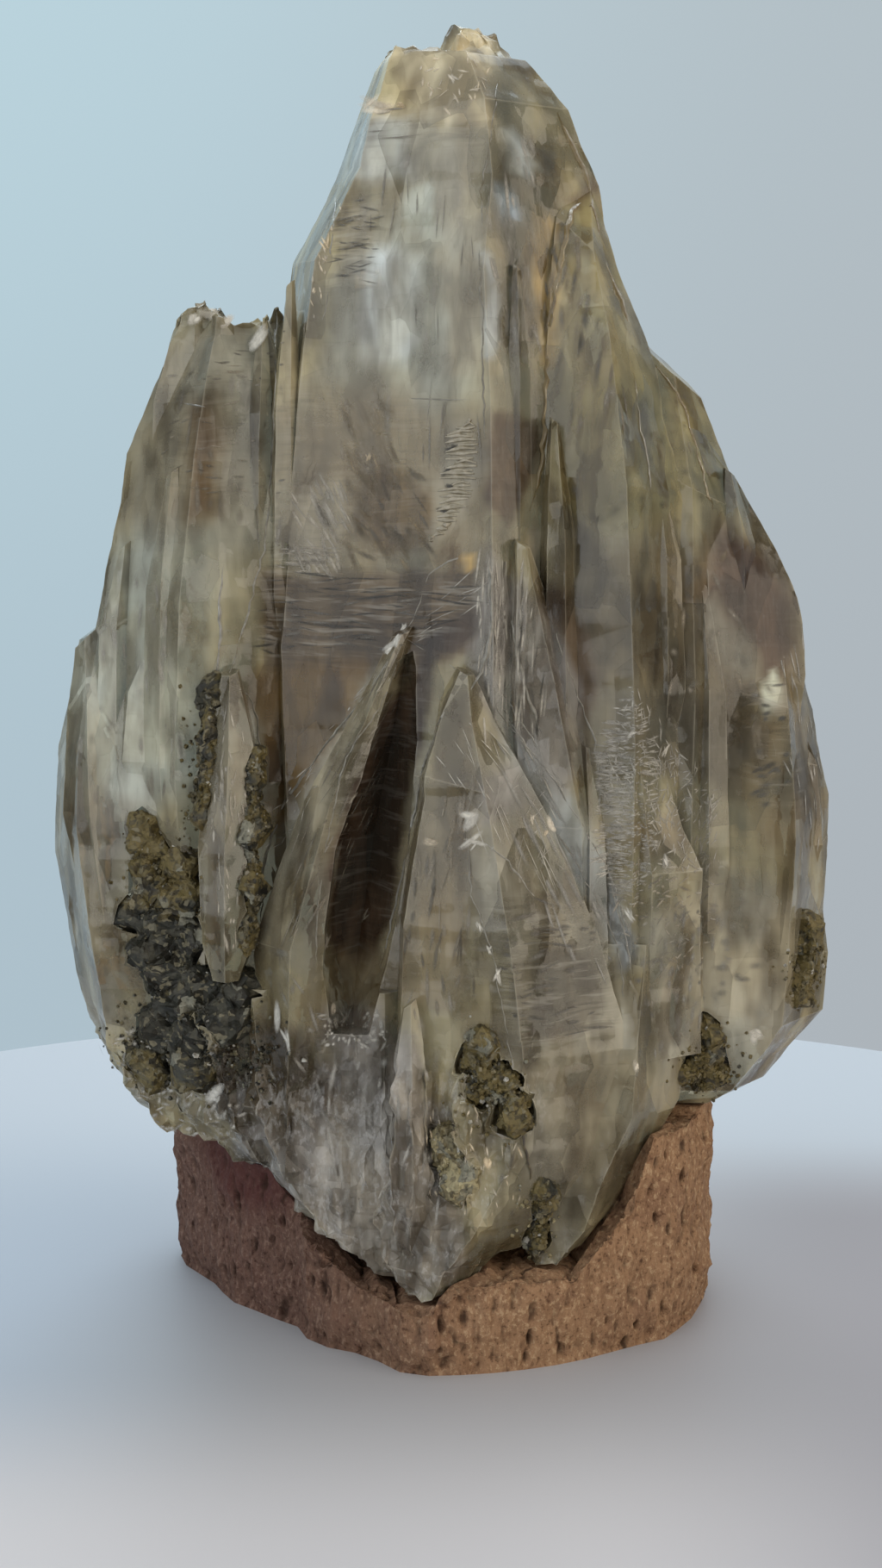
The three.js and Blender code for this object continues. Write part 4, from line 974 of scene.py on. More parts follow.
def mark_material():
    """Strokes in the skin: healed and etched quartz, painted glints and sheen, and painted shade, pale to
    dark and grey to golden, faint at the rim.
    """
    g = Graph(bpy.data.materials.new("Growth marks and painted glints"))
    grain = g.noise(0.35 * MM, 1)
    hue = g.mix(g.attribute("gold"), (1.0, 0.965, 0.87), (1.0, 0.73, 0.36))
    return g.finish(
        g.principled(
            {
                "Base Color": g.times(hue, g.attribute("tone")),
                "Roughness": 0.25,
                "Specular IOR Level": 0.5,
                "Alpha": g.attribute("fade").smooth(0.0, 0.8) * (0.55 + grain.smooth(0.35, 0.6) * 0.2),
            }
        )
    )


def crust_material(name, colour, pale, clear_share):
    """Etched, healed or stained quartz: a mottled crust of two tones, clear in part."""
    g = Graph(bpy.data.materials.new(name))
    grain = g.noise(0.5 * MM, 3)
    mixed = g.mix(grain.smooth(0.35, 0.7), colour, pale)
    normal = g.bump(grain, 0.1 * MM, 0.8)
    shared = {"Base Color": mixed, "IOR": QUARTZ_IOR, "Normal": normal}
    clear = g.principled({**shared, "Roughness": 0.12, "Transmission Weight": 1.0})
    body = g.principled({**shared, "Roughness": 0.25 + grain * 0.3, "Specular IOR Level": 0.8})
    cover = 1 - clear_share * grain.smooth(0.2, 0.8)
    return g.finish(g.value("ShaderNodeMixShader", {}, {0: cover, 1: clear, 2: body}))


def veil_material():
    """Healed fractures: patchy sheets with fine dots, grey to honey."""
    g = Graph(bpy.data.materials.new("Inner veils"))
    sheets = g.noise(3 * MM, 2, (1, 1, 2.4), 0.68)
    dots = g.noise(0.5 * MM, 1, shift=2.0)
    cover = (sheets * 0.7 + dots * 0.3).smooth(0.47, 0.68) * 0.7
    warmth = g.noise(6 * MM, 1, shift=4.0)
    colour = g.mix(warmth.smooth(0.4, 0.6), (0.62, 0.60, 0.53), (0.42, 0.35, 0.22))
    return g.finish(g.principled({"Base Color": colour, "Roughness": 0.35, "Alpha": cover}))


def mica_material(settings):
    """Crumbled mica: every crumb of its own tone, dark to silver, over weathered ochre."""
    g = Graph(bpy.data.materials.new("Mica"))
    tone = g.attribute("tone")
    ochre = g.attribute("ochre")
    place = g.warped(g.place, 1.5 * MM, 0.6 * MM)
    grain = g.noise(0.45 * MM, 4)
    patches = g.noise(2.2 * MM, 4, shift=4.4)
    crumb, crumb_tilt = g.blocks(1.1 * MM, (1, 1, 1), place)
    speck, speck_tilt = g.blocks(0.45 * MM, (1, 1, 1), place)
    weathered = (ochre + (patches - 0.5) * 2.2 + (speck - 0.5) * 0.35).smooth(0.3, 0.8)
    colour = g.mix(crumb.smooth(0.55, 0.65), settings.dark, (0.062, 0.058, 0.040))
    colour = g.mix(weathered, colour, g.mix(crumb, settings.ochre, (0.185, 0.142, 0.052)))
    gold = g.mix(crumb, (0.20, 0.16, 0.08), (0.52, 0.46, 0.28))
    colour = g.mix(ochre.smooth(1.1, 1.7) * (0.55 + speck * 0.4), colour, gold)
    colour = g.mix(speck.smooth(0.86, 0.9) * 0.8, colour, (0.20, 0.175, 0.11))
    colour = g.mix(crumb.smooth(0.94, 0.96) * 0.9, colour, (0.26, 0.25, 0.19))
    colour = g.mix(speck.smooth(0.2, 0.1) * 0.55, colour, (0.022, 0.018, 0.012))
    colour = g.mix(tone.smooth(0.80, 0.98), colour, settings.silver)
    colour = g.mix(grain.smooth(0.5, 0.3) * 0.6, colour, (0.012, 0.010, 0.006))
    grain_height = 0.16 * MM
    inputs = {
        "Base Color": colour,
        "Roughness": 0.6 - tone * 0.35,
        "Specular IOR Level": 0.5,
        "Normal": g.bump(crumb_tilt * 0.9 + speck_tilt * 0.7 + grain * grain_height, 1.0),
    }
    return g.finish(g.principled(inputs))


def cork_material(settings):
    """Rough cork: upright fibres and crumbs, redder on the left. Painted light makes it tan and paler on the
    right and painted shade darker on the left; the pores and hollows are darker, partly in their own colour
    and partly in painted shade.
    """
    g = Graph(bpy.data.materials.new("Cork"))
    depth = g.attribute("depth")
    across = g.value("ShaderNodeSeparateXYZ", {}, {0: g.place}).smooth(-15 * MM, 8 * MM)
    crumbs = g.noise(0.42 * MM, 4, (1, 1, 1.25), 0.7)
    grain = g.noise(0.8 * MM, 5, (1, 1, 2.4), 0.7, shift=8.0)
    fibre = g.noise(0.30 * MM, 3, (1, 1, 6), 0.6, shift=2.2)
    patches = g.noise(4 * MM, 4, (1, 1, 1.6), shift=6.0)
    # painted light and shade: darker on the left, paler and tan on the right, where the light falls
    colour = g.mix(across, (0.155, 0.088, 0.066), settings.light)
    # each layer's cover, and its colour on the shaded left and on the lit right: painted light and shade
    layers = [
        (grain.smooth(0.42, 0.66) * 0.55, (0.095, 0.050, 0.038), (0.19, 0.10, 0.055)),
        (patches.smooth(0.5, 0.66) * 0.45, (0.16, 0.084, 0.064), (0.22, 0.12, 0.075)),
        (crumbs.smooth(0.53, 0.64) * 0.8, (0.26, 0.165, 0.125), (0.50, 0.34, 0.20)),
        (fibre.smooth(0.54, 0.72) * 0.25, (0.24, 0.155, 0.115), (0.46, 0.31, 0.18)),
        (crumbs.smooth(0.45, 0.34) * 0.8, (0.055, 0.026, 0.020), (0.11, 0.055, 0.030)),
    ]
    for cover, left, right in layers:
        colour = g.mix(cover, colour, g.mix(across, left, right))
    red = g.zone(g.place, (-17 * MM, -4 * MM, 14 * MM), (7 * MM, 12 * MM, 6 * MM))
    colour = g.mix(red * 0.7, colour, (0.085, 0.026, 0.026))
    # darker where the depth layer says: the pores' own colour, and painted shade in the hollows and where the
    # cork meets the stone
    colour = g.mix(depth.smooth(0.15, 0.85) * 0.85, colour, settings.dark)
    normal = g.bump(crumbs * 0.45 + grain * 0.25 + fibre * 0.3, 0.34 * MM)
    inputs = {"Base Color": colour, "Roughness": 0.92, "Specular IOR Level": 0.2, "Normal": normal}
    return g.finish(g.principled(inputs))


def floor_material(settings):
    """Matt white, with painted light and shade: bluish on the left, brighter in front and towards the window
    behind, and a duller, warmer painted shade on the right.
    """
    g = Graph(bpy.data.materials.new("Floor"))
    axes = g.add("ShaderNodeSeparateXYZ", {}, {0: g.place})
    x, y = Value(g, axes.outputs[0]), Value(g, axes.outputs[1])
    # painted light and shade: bluish on the left, brighter behind and in front, a painted shade on the right
    colour = g.mix(x.smooth(-5 * MM, -40 * MM), settings.floor, (0.46, 0.52, 0.60))
    colour = g.mix(y.smooth(-5 * MM, 62 * MM), colour, (0.62, 0.665, 0.72))
    colour = g.mix(y.smooth(-14 * MM, -48 * MM), colour, (0.74, 0.71, 0.72))
    colour = g.mix(x.smooth(8 * MM, 42 * MM) * y.smooth(48 * MM, 18 * MM) * 0.9, colour, (0.36, 0.33, 0.345))
    return g.finish(g.principled({"Base Color": colour, "Roughness": 0.5, "Specular IOR Level": 0.3}))


# ---------------------------------------------------------------- mesh helpers


def merged(node):
    """A bmesh of a CAD node with its loose triangles joined."""
    mesh = bmesh.new()
    mesh.from_mesh(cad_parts[node].data)
    bmesh.ops.remove_doubles(mesh, verts=mesh.verts, dist=MERGE_DISTANCE)
    return mesh


def everything(mesh):
    return mesh.verts[:] + mesh.edges[:] + mesh.faces[:]


def sliced(mesh, node, pitches):
    """Cuts the mesh into cells by planes across X, Y and Z."""
    on_plane = 1e-7  # a vertex that lies this near a plane isn't cut off
    low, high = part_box(node)
    for axis, pitch in enumerate(pitches):
        normal = Vector((0, 0, 0))
        normal[axis] = 1
        for step in range(1, int((high[axis] - low[axis]) / pitch)):
            point = normal * (low[axis] + step * pitch)
            bmesh.ops.bisect_plane(
                mesh, geom=everything(mesh), dist=on_plane, plane_co=point, plane_no=normal
            )
    bmesh.ops.triangulate(mesh, faces=mesh.faces)


def kept_in(point, low=CAD_LOW, high=CAD_HIGH):
    """The point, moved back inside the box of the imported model."""
    return Vector(min(max(value, least), most) for value, least, most in zip(point, low, high))


def moved(mesh, offset):
    """Moves every vertex along its normal by offset(place in mm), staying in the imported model's box."""
    mesh.normal_update()
    shifts = [(vert, offset(vert.co / MM) * vert.normal) for vert in mesh.verts]
    for vert, shift in shifts:
        vert.co = kept_in(vert.co + shift)


def linked(name, mesh, material, sharp, node=None):
    """Makes the piece: an object at the origin that rides on the body and may stand for a node. It is shaded
    smooth, except over edges that turn by more than the sharp angle, in degrees."""
    mesh.normal_update()
    for face in mesh.faces:
        face.smooth = True
    for edge in mesh.edges:
        edge.smooth = len(edge.link_faces) == 2 and edge.calc_face_angle(0) < math.radians(sharp)
    data = bpy.data.meshes.new(name)
    mesh.to_mesh(data)
    mesh.free()
    data.materials.append(material)
    piece = bpy.data.objects.new(name, data)
    bpy.context.scene.collection.objects.link(piece)
    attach(piece, BODY)
    if node:
        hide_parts(node)


class Surface:
    """The skin of a CAD node, for setting pieces on it or inside it."""

    def __init__(self, node):
        mesh = merged(node)
        self.tree = BVHTree.FromBMesh(mesh)
        mesh.free()

    def front(self, x, z):
        """The place and normal where the line of sight to (x, z) on the sighting plane meets the skin."""
        aim = Vector((x, SIGHT_Y, z)) - EYE
        place, normal, _, _ = self.tree.ray_cast(EYE, aim.normalized())
        return place, normal

    def depth(self, point):
        """How deep the point lies under the skin; negative outside."""
        place, normal, _, distance = self.tree.find_nearest(point)
        return distance if (point - place).dot(normal) < 0 else -distance


def turned_to(direction, place, spin=0.0):
    """A matrix that stands +Z along the direction, at the place."""
    turn = direction.to_track_quat("Z", "Y").to_matrix().to_4x4()
    return Matrix.Translation(place) @ turn @ Matrix.Rotation(spin, 4, "Z")


def swept(mesh, points, radii, sides=6):
    """A closed tube through the points, made by extruding a ring from each to the next."""
    direction = (points[1] - points[0]).normalized()
    ring = bmesh.ops.create_circle(
        mesh, cap_ends=True, segments=sides, radius=radii[0], matrix=turned_to(direction, points[0])
    )["verts"]
    edges = list(dict.fromkeys(edge for vert in ring for edge in vert.link_edges))
    for index in range(1, len(points)):
        made = bmesh.ops.extrude_edge_only(mesh, edges=edges)["geom"]
        verts = [item for item in made if isinstance(item, bmesh.types.BMVert)]
        edges = [item for item in made if isinstance(item, bmesh.types.BMEdge)]
        bmesh.ops.translate(mesh, verts=verts, vec=points[index] - points[index - 1])
        ratio = radii[index] / radii[index - 1]
        space = Matrix.Translation(-points[index])
        bmesh.ops.scale(mesh, verts=verts, vec=(ratio, ratio, ratio), space=space)
    bmesh.ops.edgeloop_fill(mesh, edges=edges)


def shard(mesh, sides, radius, length, matrix, tip=0.15):
    """A small tapered prism or plate, its length along the matrix's Z."""
    lifted = matrix @ Matrix.Translation((0, 0, length / 2))
    return bmesh.ops.create_cone(
        mesh, cap_ends=True, segments=sides, radius1=radius, radius2=radius * tip, depth=length, matrix=lifted
    )["verts"]


class Batch:
    """A mesh for many small shapes. They are made in a small mesh that is emptied into the large one from
    time to time, because every operator walks through the whole mesh that it works on."""

    def __init__(self, layers=()):
        self.layers = layers
        self.whole, self.part = self.blank(), self.blank()

    def blank(self):
        mesh = bmesh.new()
        for name in self.layers:
            mesh.verts.layers.float.new(name)
        return mesh

    def mark(self, verts, **values):
        """Writes the named layers on the vertices of the shape made last."""
        for name, value in values.items():
            layer = self.part.verts.layers.float[name]
            for vert in verts:
                vert[layer] = value

    def take(self, mesh):
        """Empties another mesh into the large one."""
        passing = bpy.data.meshes.new("passing")
        mesh.to_mesh(passing)
        mesh.free()
        self.whole.from_mesh(passing)
        bpy.data.meshes.remove(passing)

    def settle(self, limit=600):
        """Empties the small mesh once it has more than the limit of vertices."""
        if len(self.part.verts) > limit:
            self.take(self.part)
            self.part = self.blank()

    def finished(self):
        self.settle(0)
        self.part.free()
        return self.whole


# ---------------------------------------------------------------- pieces


def ramp(value, low, high):
    """0 at low, 1 at high, and a smooth step between."""
    share = min(1.0, max(0.0, (value - low) / (high - low)))
    return share * share * (3 - 2 * share)


def span(corners, margin=0.0):
    """The lowest and the highest x and z of an outline, with a margin round it."""
    low = [min(corner[i] for corner in corners) - margin for i in (0, 1)]
    high = [max(corner[i] for corner in corners) + margin for i in (0, 1)]
    return low, high


def inward(corners, x, z):
    """How far the point lies inside a convex outline, its corners anticlockwise; negative outside."""
    least = math.inf
    for (x0, z0), (x1, z1) in zip(corners, corners[1:] + corners[:1]):
        along_x, along_z = x1 - x0, z1 - z0
        least = min(least, (along_x * (z - z0) - along_z * (x - x0)) / math.hypot(along_x, along_z))
    return least


def frosting(p):
    """How broken and frosted the stone is at a place in mm: at the foot, its tip, the top or the shoulder."""
    foot = ramp(p.z, 28, 22) * ramp(p.x - 0.5 * p.z, 2, -6)
    tip = ramp(p.z, 12, 8) * 0.8
    top = ramp(p.z, 104.5, 106.5)
    shoulder = ramp(p.z, 82, 85) * ramp(p.x, -12, -15)
    return min(1.0, max(foot, tip, top, shoulder))


def toned(mesh, settings):
    """Writes the tone, share and tint of the haze, the frost and the striation on every vertex."""
    layers = mesh.verts.layers
    tone, tint = layers.float_color.new("tone"), layers.float_color.new("tint")
    share_layer, frost = layers.float.new("share"), layers.float.new("frost")
    upright_layer, level_layer = layers.float.new("upright"), layers.float.new("level")
    wave, reach = 0.35, 0.7  # waves per mm, and reach in mm, of the wander of the outlines
    tint_gain = 1.4  # how much paler the clear glass is tinted than the haze over it
    panes = []
    for _, tone_name, share, soft, strength, corners in PANES:
        panes.append((*span(corners, soft), Vector(TONES[tone_name]), share, soft, strength, corners))
    for vert in mesh.verts:
        p = vert.co / MM
        scale = (SIGHT_Y - EYE.y) / (vert.co.y - EYE.y)
        drift = noise.noise_vector(p * wave) * reach
        x = p.x * scale + drift.x
        z = EYE.z / MM + (p.z - EYE.z / MM) * scale + drift.z
        colour = Vector(settings.haze)
        amount = settings.haze_amount
        for low, high, pane_colour, share, soft, strength, corners in panes:
            if low[0] < x < high[0] and low[1] < z < high[1]:
                mask = strength * ramp(inward(corners, x, z), -soft, soft)
                colour = colour.lerp(pane_colour, mask)
                amount += (share - amount) * mask
        vert[tone] = (*colour, 1)
        vert[tint] = (*(min(1, tint_gain * math.sqrt(value)) for value in colour), 1)
        upright, level = PLAIN_GRAIN
        for _, tall, flat, corners in GRAINS:
            mask = ramp(inward(corners, x, z), -GRAIN_SOFTNESS, GRAIN_SOFTNESS)
            upright += (tall - upright) * mask
            level += (flat - level) * mask
        vert[share_layer] = amount
        vert[frost] = frosting(p)
        vert[upright_layer] = upright
        vert[level_layer] = level


def quartz_offset(relief):
    """The relief of the crystal faces: growth lines, streaks and, where the stone is broken, chips."""

    def offset(p):
        lines = noise.noise(Vector((p.x * 0.06, p.y * 0.06, p.z * 0.9)))
        streaks = noise.noise(Vector((p.x * 0.8, p.y * 0.8, p.z * 0.05)))
        lift = relief / MM * (lines * 0.8 + streaks * 0.4)
        broken = frosting(p)
        if broken > 0:
            near, far = noise.voronoi(Vector((p.x, p.y, p.z * 0.5)) * 0.55)[0][:2]
            small, next_small = noise.voronoi(Vector((p.x, p.y, p.z * 0.6)) * 1.3)[0][:2]
            lift += broken * (1.2 * (far - near) + 0.4 * (next_small - small) - 0.7)
        return lift * MM

    return offset


def marked_edges(mesh, angle):
    """Marks the vertices on sharp convex edges in the float layer edge, where the quartz paints a highlight.
    """
    layer = mesh.verts.layers.float.new("edge")
    for edge in mesh.edges:
        if len(edge.link_faces) == 2 and edge.calc_face_angle_signed(0) > angle:
            for vert in edge.verts:
                vert[layer] = 1.0


def make_quartz(settings):
    """The skin of the crystals, cut into cells that are four times as deep as they are wide."""
    mesh = merged(QUARTZ_NODE)
    pitch = settings.cell
    sliced(mesh, QUARTZ_NODE, (pitch, 4 * pitch, pitch))
    marked_edges(mesh, math.radians(16))
    toned(mesh, settings)
    moved(mesh, quartz_offset(settings.relief))
    material = quartz_material(settings)
    linked("quartz_crystals", mesh, material, 20, QUARTZ_NODE)


def make_seams(surface):
    """Thin tubes, partly sunk in the skin, along the lines of SEAMS."""
    spacing, wander = 0.7, 0.12  # mm between the points of a seam, and mm that they stray sideways
    sunk = 0.4  # how deep the middle of a seam lies, as a share of its half width
    finishes = {
        "stain": crust_material("Golden stain", (0.20, 0.135, 0.045), (0.38, 0.29, 0.13), 0.5),
        # healed quartz, and also the painted highlights along the crystal edges, ridges and fringes
        "healed": crust_material("Healed quartz and edge highlights", (0.17, 0.155, 0.12), (0.42, 0.40, 0.34), 0.5),
        "crack": crust_material("Dark crack", (0.035, 0.024, 0.012), (0.12, 0.085, 0.03), 0.0),
    }
    for name, half_width, finish, corners in SEAMS:
        rng = random.Random(name)
        mesh = bmesh.new()
        points = []
        for (x0, z0), (x1, z1) in zip(corners, corners[1:]):
            steps = max(2, round(math.dist((x0, z0), (x1, z1)) / spacing))
            for step in range(steps):
                share = step / steps
                x = x0 + (x1 - x0) * share + rng.uniform(-wander, wander)
                z = z0 + (z1 - z0) * share
                place, normal = surface.front(x * MM, z * MM)
                if place:
                    points.append(place - normal * sunk * half_width * MM)
        if len(points) < 3:
            raise RuntimeError(f"{name} misses the crystal")
        radii = []
        for index, point in enumerate(points):
            taper = min(1.0, 0.25 + 0.25 * min(index, len(points) - 1 - index))
            radii.append(half_width * MM * taper * (0.85 + 0.6 * noise.noise(point / MM * 0.6)))
        swept(mesh, points, radii)
        linked(name, mesh, finishes[finish], 50)


def stroke(batch, place, normal, angle, half_length, half_width, surface=None):
    """A long leaf on the skin. Given the surface, it is shortened until both ends lie near the skin."""
    near, lift = 0.2 * MM, 0.05 * MM  # how far off the skin an end may lie, and the leaf's height over it
    up = Vector((math.sin(angle), 0, math.cos(angle)))
    along = (up - normal * up.dot(normal)).normalized()
    for _ in range(3):
        ends = [place + along * side * half_length for side in (-1, 1)]
        if not surface or all(abs(surface.depth(end)) < near for end in ends):
            break
        half_length *= 0.5
    across = normal.cross(along)
    turn = Matrix((across, along, normal)).transposed().to_4x4()
    size = Matrix.Diagonal((half_width, half_length, half_width, 1))
    matrix = Matrix.Translation(place + normal * lift) @ turn @ size
    return bmesh.ops.create_circle(
        batch.part, cap_ends=True, cap_tris=True, segments=10, radius=1, matrix=matrix
    )["verts"]


def painted(batch, verts, tone, gold, rim, middle):
    """Gives a stroke its tone and hue, and its cover at the rim and in the middle."""
    batch.mark(verts, tone=tone, gold=gold, fade=rim)
    batch.mark([vert for vert in verts if len(vert.link_edges) > 3], fade=middle)
    batch.settle()


def hatched(batch, surface, rng, lean, spread, count, lengths, widths, tones, gold, corners):
    """Fills a field with fine strokes, where it faces the front."""
    full = 0.26 * MM  # the half width above which a stroke grows fainter
    low, high = span(corners)
    made = 0
    while made < count:
        x, z = rng.uniform(low[0], high[0]), rng.uniform(low[1], high[1])
        if inward(corners, x, z) < rng.uniform(-0.5, 0.3):
            continue
        made += 1
        place, normal = surface.front(x * MM, z * MM)
        if not place or normal.y > -0.1:
            continue
        angle = math.radians(lean + rng.gauss(0, spread))
        half_length = 0.5 * MM * rng.uniform(*lengths)
        half_width = 0.9 * MM * rng.uniform(*widths)
        verts = stroke(batch, place, normal, angle, half_length, half_width, surface)
        cover = min(1.0, full / half_width)
        painted(batch, verts, rng.uniform(*tones), gold * rng.uniform(0.6, 1.3), 0.0, cover)


def glinting(batch, surface, rng, name, x, z, half_length, half_width, lean, tone, gold):
    """A painted glint, a chip or crust, or a small gap painted dark as shade: one stroke, and three smaller
    ones scattered about it.
    """
    # how far the strokes lie apart, as a share of the half length, and how far each lies above the last
    scatter, stack = 0.4, 0.03 * MM
    place, normal = surface.front(x * MM, z * MM)
    if not place:
        raise RuntimeError(f"{name} misses the crystal")
    for part in range(4):
        shift = Vector((rng.uniform(-1, 1), 0, rng.uniform(-1, 1))) * scatter * half_length * MM
        aim = math.radians(lean + rng.uniform(-40, 40))
        size = rng.uniform(0.35, 1.0) if part else 1.0
        spot = place + (shift - normal * shift.dot(normal)) * bool(part) + normal * stack * part
        verts = stroke(batch, spot, normal, aim, half_length * size * MM, half_width * size * MM)
        painted(batch, verts, tone * rng.uniform(0.6, 1.0), gold, 0.2, 1.0)


def make_marks(surface):
    """The fields of strokes, the etched spires among them, and the painted glints, chips and shaded gaps."""
    rng = random.Random(21)
    batch = Batch(("tone", "gold", "fade"))
    for _, *field in HATCHES:
        hatched(batch, surface, rng, *field)
    for glint in GLINTS:
        glinting(batch, surface, rng, *glint)
    linked("growth_marks_and_glints", batch.finished(), mark_material(), 50)


def make_suture(surface):
    """The ribbed suture that runs down the face of the main crystal."""
    rng = random.Random(7)
    mesh = bmesh.new()
    tip, height = 0.06 * MM, 0.06 * MM  # half thickness of a rib's ends, and its height over the skin
    # height, left end and right end of the suture
    outline = [
        (76.0, 2.2, 2.8),
        (75.2, 0.7, 2.8),
        (74.2, 0.3, 2.8),
        (71.8, 0.1, 2.8),
        (69.5, -0.2, 2.1),
        (68.0, -0.5, 1.4),
        (66.5, -1.0, -0.7),
    ]
    z = outline[0][0]
    while z > outline[-1][0]:
        index = next(i for i in range(1, len(outline)) if outline[i][0] <= z)
        (z0, left0, right0), (z1, left1, right1) = outline[index - 1], outline[index]
        share = (z0 - z) / (z0 - z1)
        left = left0 + (left1 - left0) * share + rng.uniform(-0.2, 0.25)
        right = right0 + (right1 - right0) * share + rng.uniform(-0.4, 0.1)
        if rng.random() < 0.2:
            left += rng.uniform(0.3, 0.6) * (right - left)
        bend = (
            (left, rng.uniform(-0.3, 0.1)),
            ((left + right) / 2, rng.uniform(0.0, 0.2)),
            (right, rng.uniform(-0.1, 0.2)),
        )
        places = [surface.front(x * MM, (z + rise) * MM) for x, rise in bend]
        if all(place for place, _ in places):
            points = [place + normal * height for place, normal in places]
            swept(mesh, points, [tip, rng.uniform(0.14, 0.26) * MM, tip])
        z -= rng.uniform(0.24, 0.4)
    ribs = crust_material("Ribbed quartz", (0.27, 0.235, 0.16), (0.50, 0.45, 0.35), 0.2)
    linked("ribbed_suture", mesh, ribs, 50)


def make_veils(settings, surface):
    """Healed fractures: uneven sheets a little under the front skin of the crystal."""
    rng = random.Random(11)
    mesh = bmesh.new()
    wave, wander = 0.3, 1.2 * MM  # waves per mm, and height of the unevenness of a sheet
    cover = 0.4 * MM  # what lies less deep than this is cut away
    field_x, field_z = (-26, 26), (12, 102)  # mm
    made = 0
    while made < settings.veils:
        x, z = rng.uniform(*field_x), rng.uniform(*field_z)
        place, normal = surface.front(x * MM, z * MM)
        if not place:
            continue
        made += 1
        half = rng.uniform(1.8, 5.5) * MM
        direction = (normal + Vector((rng.uniform(-0.5, 0.5), 0, rng.uniform(-0.25, 0.25)))).normalized()
        centre = place - normal * rng.uniform(1.2, 3.2) * MM
        seat = turned_to(direction, centre, rng.uniform(0, 3))
        seat = seat @ Matrix.Diagonal((1, rng.uniform(1, 1.8), 1, 1))
        grid = bmesh.ops.create_grid(mesh, x_segments=12, y_segments=12, size=half, matrix=seat)["verts"]
        for vert in grid:
            vert.co += direction * noise.noise(vert.co / MM * wave) * wander
    outside = [vert for vert in mesh.verts if surface.depth(vert.co) < cover]
    bmesh.ops.delete(mesh, geom=outside, context="VERTS")
    linked("inner_veils", mesh, veil_material(), 60)


def ochre_share(node, height):
    """How ochre a patch of mica is, from its foot, at height 0, to its top, at 1."""
    if node == "mica_mass_left":
        return ramp(height, 0.5, 0.85) + 0.6 * ramp(height, 0.3, 0.0)
    even = {
        "mica_nodule_right": 0.9,
        "mica_pocket_right": 0.7,
        "mica_pocket_front": 0.85,
        "mica_specks_front": 1.7,
    }
    return even.get(node, 0.6)


def mica_body(node, settings, crystal):
    """The crumbly body of a mica patch, drawn in where it stands far out of the quartz."""
    flush = 0.6 * MM  # how far it may stand out before it is drawn in
    proud = 0.25 if "seam" in node else 0.5  # what is left of the rest
    mesh = merged(node)
    cuts = 3 if len(mesh.faces) < 900 else 2
    bmesh.ops.subdivide_edges(mesh, edges=mesh.edges, cuts=cuts, use_grid_fill=True)
    for vert in mesh.verts:
        place, _, _, gap = crystal.tree.find_nearest(vert.co)
        if gap > flush and crystal.depth(vert.co) < 0:
            vert.co = place + (vert.co - place) * (flush + (gap - flush) * proud) / gap

    def offset(p):
        wide = noise.fractal(p * 0.38, 1.0, 2.0, 3)
        near = noise.voronoi(p * 0.95)[0][0]
        crumbs = noise.voronoi(p * 2.1)[0][0]
        return settings.swell + (0.9 * wide + 0.6 * (0.4 - near) + 0.5 * (0.35 - crumbs)) * MM

    moved(mesh, offset)
    mesh.normal_update()
    return mesh


def mica_patch(node, settings, crystal):
    """A mica patch: its body, with small flakes standing out of it, more or less like the pages of a book."""
    rng = random.Random(node)
    batch = Batch(("tone", "ochre"))
    body = mica_body(node, settings, crystal)
    seats = [(face.calc_center_median(), face.normal.copy()) for face in body.faces]
    batch.take(body)
    book = Vector((rng.uniform(-1, 1), rng.uniform(-1, 1), rng.uniform(-0.4, 1))).normalized()
    sunk = 0.12 * MM
    for _ in range(min(3200, 400 + len(seats) // 4)):
        place, normal = rng.choice(seats)
        direction = (normal + 0.9 * book + Vector([rng.uniform(-0.8, 0.8) for _ in range(3)])).normalized()
        radius = settings.flake * rng.uniform(0.2, 1.0) ** 1.5
        seat = turned_to(direction, place - normal * sunk, rng.uniform(0, 3))
        verts = shard(batch.part, rng.choice((4, 5, 6)), radius, rng.uniform(0.08, 0.3) * MM, seat, 0.85)
        batch.mark(verts, tone=rng.random() ** 3)
        batch.settle()
    mesh = batch.finished()
    low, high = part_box(node)
    ochre = mesh.verts.layers.float["ochre"]
    for vert in mesh.verts:
        vert[ochre] = ochre_share(node, (vert.co.z - low.z) / (high.z - low.z))
        vert.co = kept_in(vert.co)
    return mesh


def make_mica(settings):
    """The mica patches, and the loose grains round them."""
    material = mica_material(settings)
    crystal = Surface(QUARTZ_NODE)
    for node in sorted(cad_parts):
        if node.startswith("mica_"):
            mesh = mica_patch(node, settings, crystal)
            linked(node + "_flakes", mesh, material, 35, node)
    make_scatter(material, crystal)


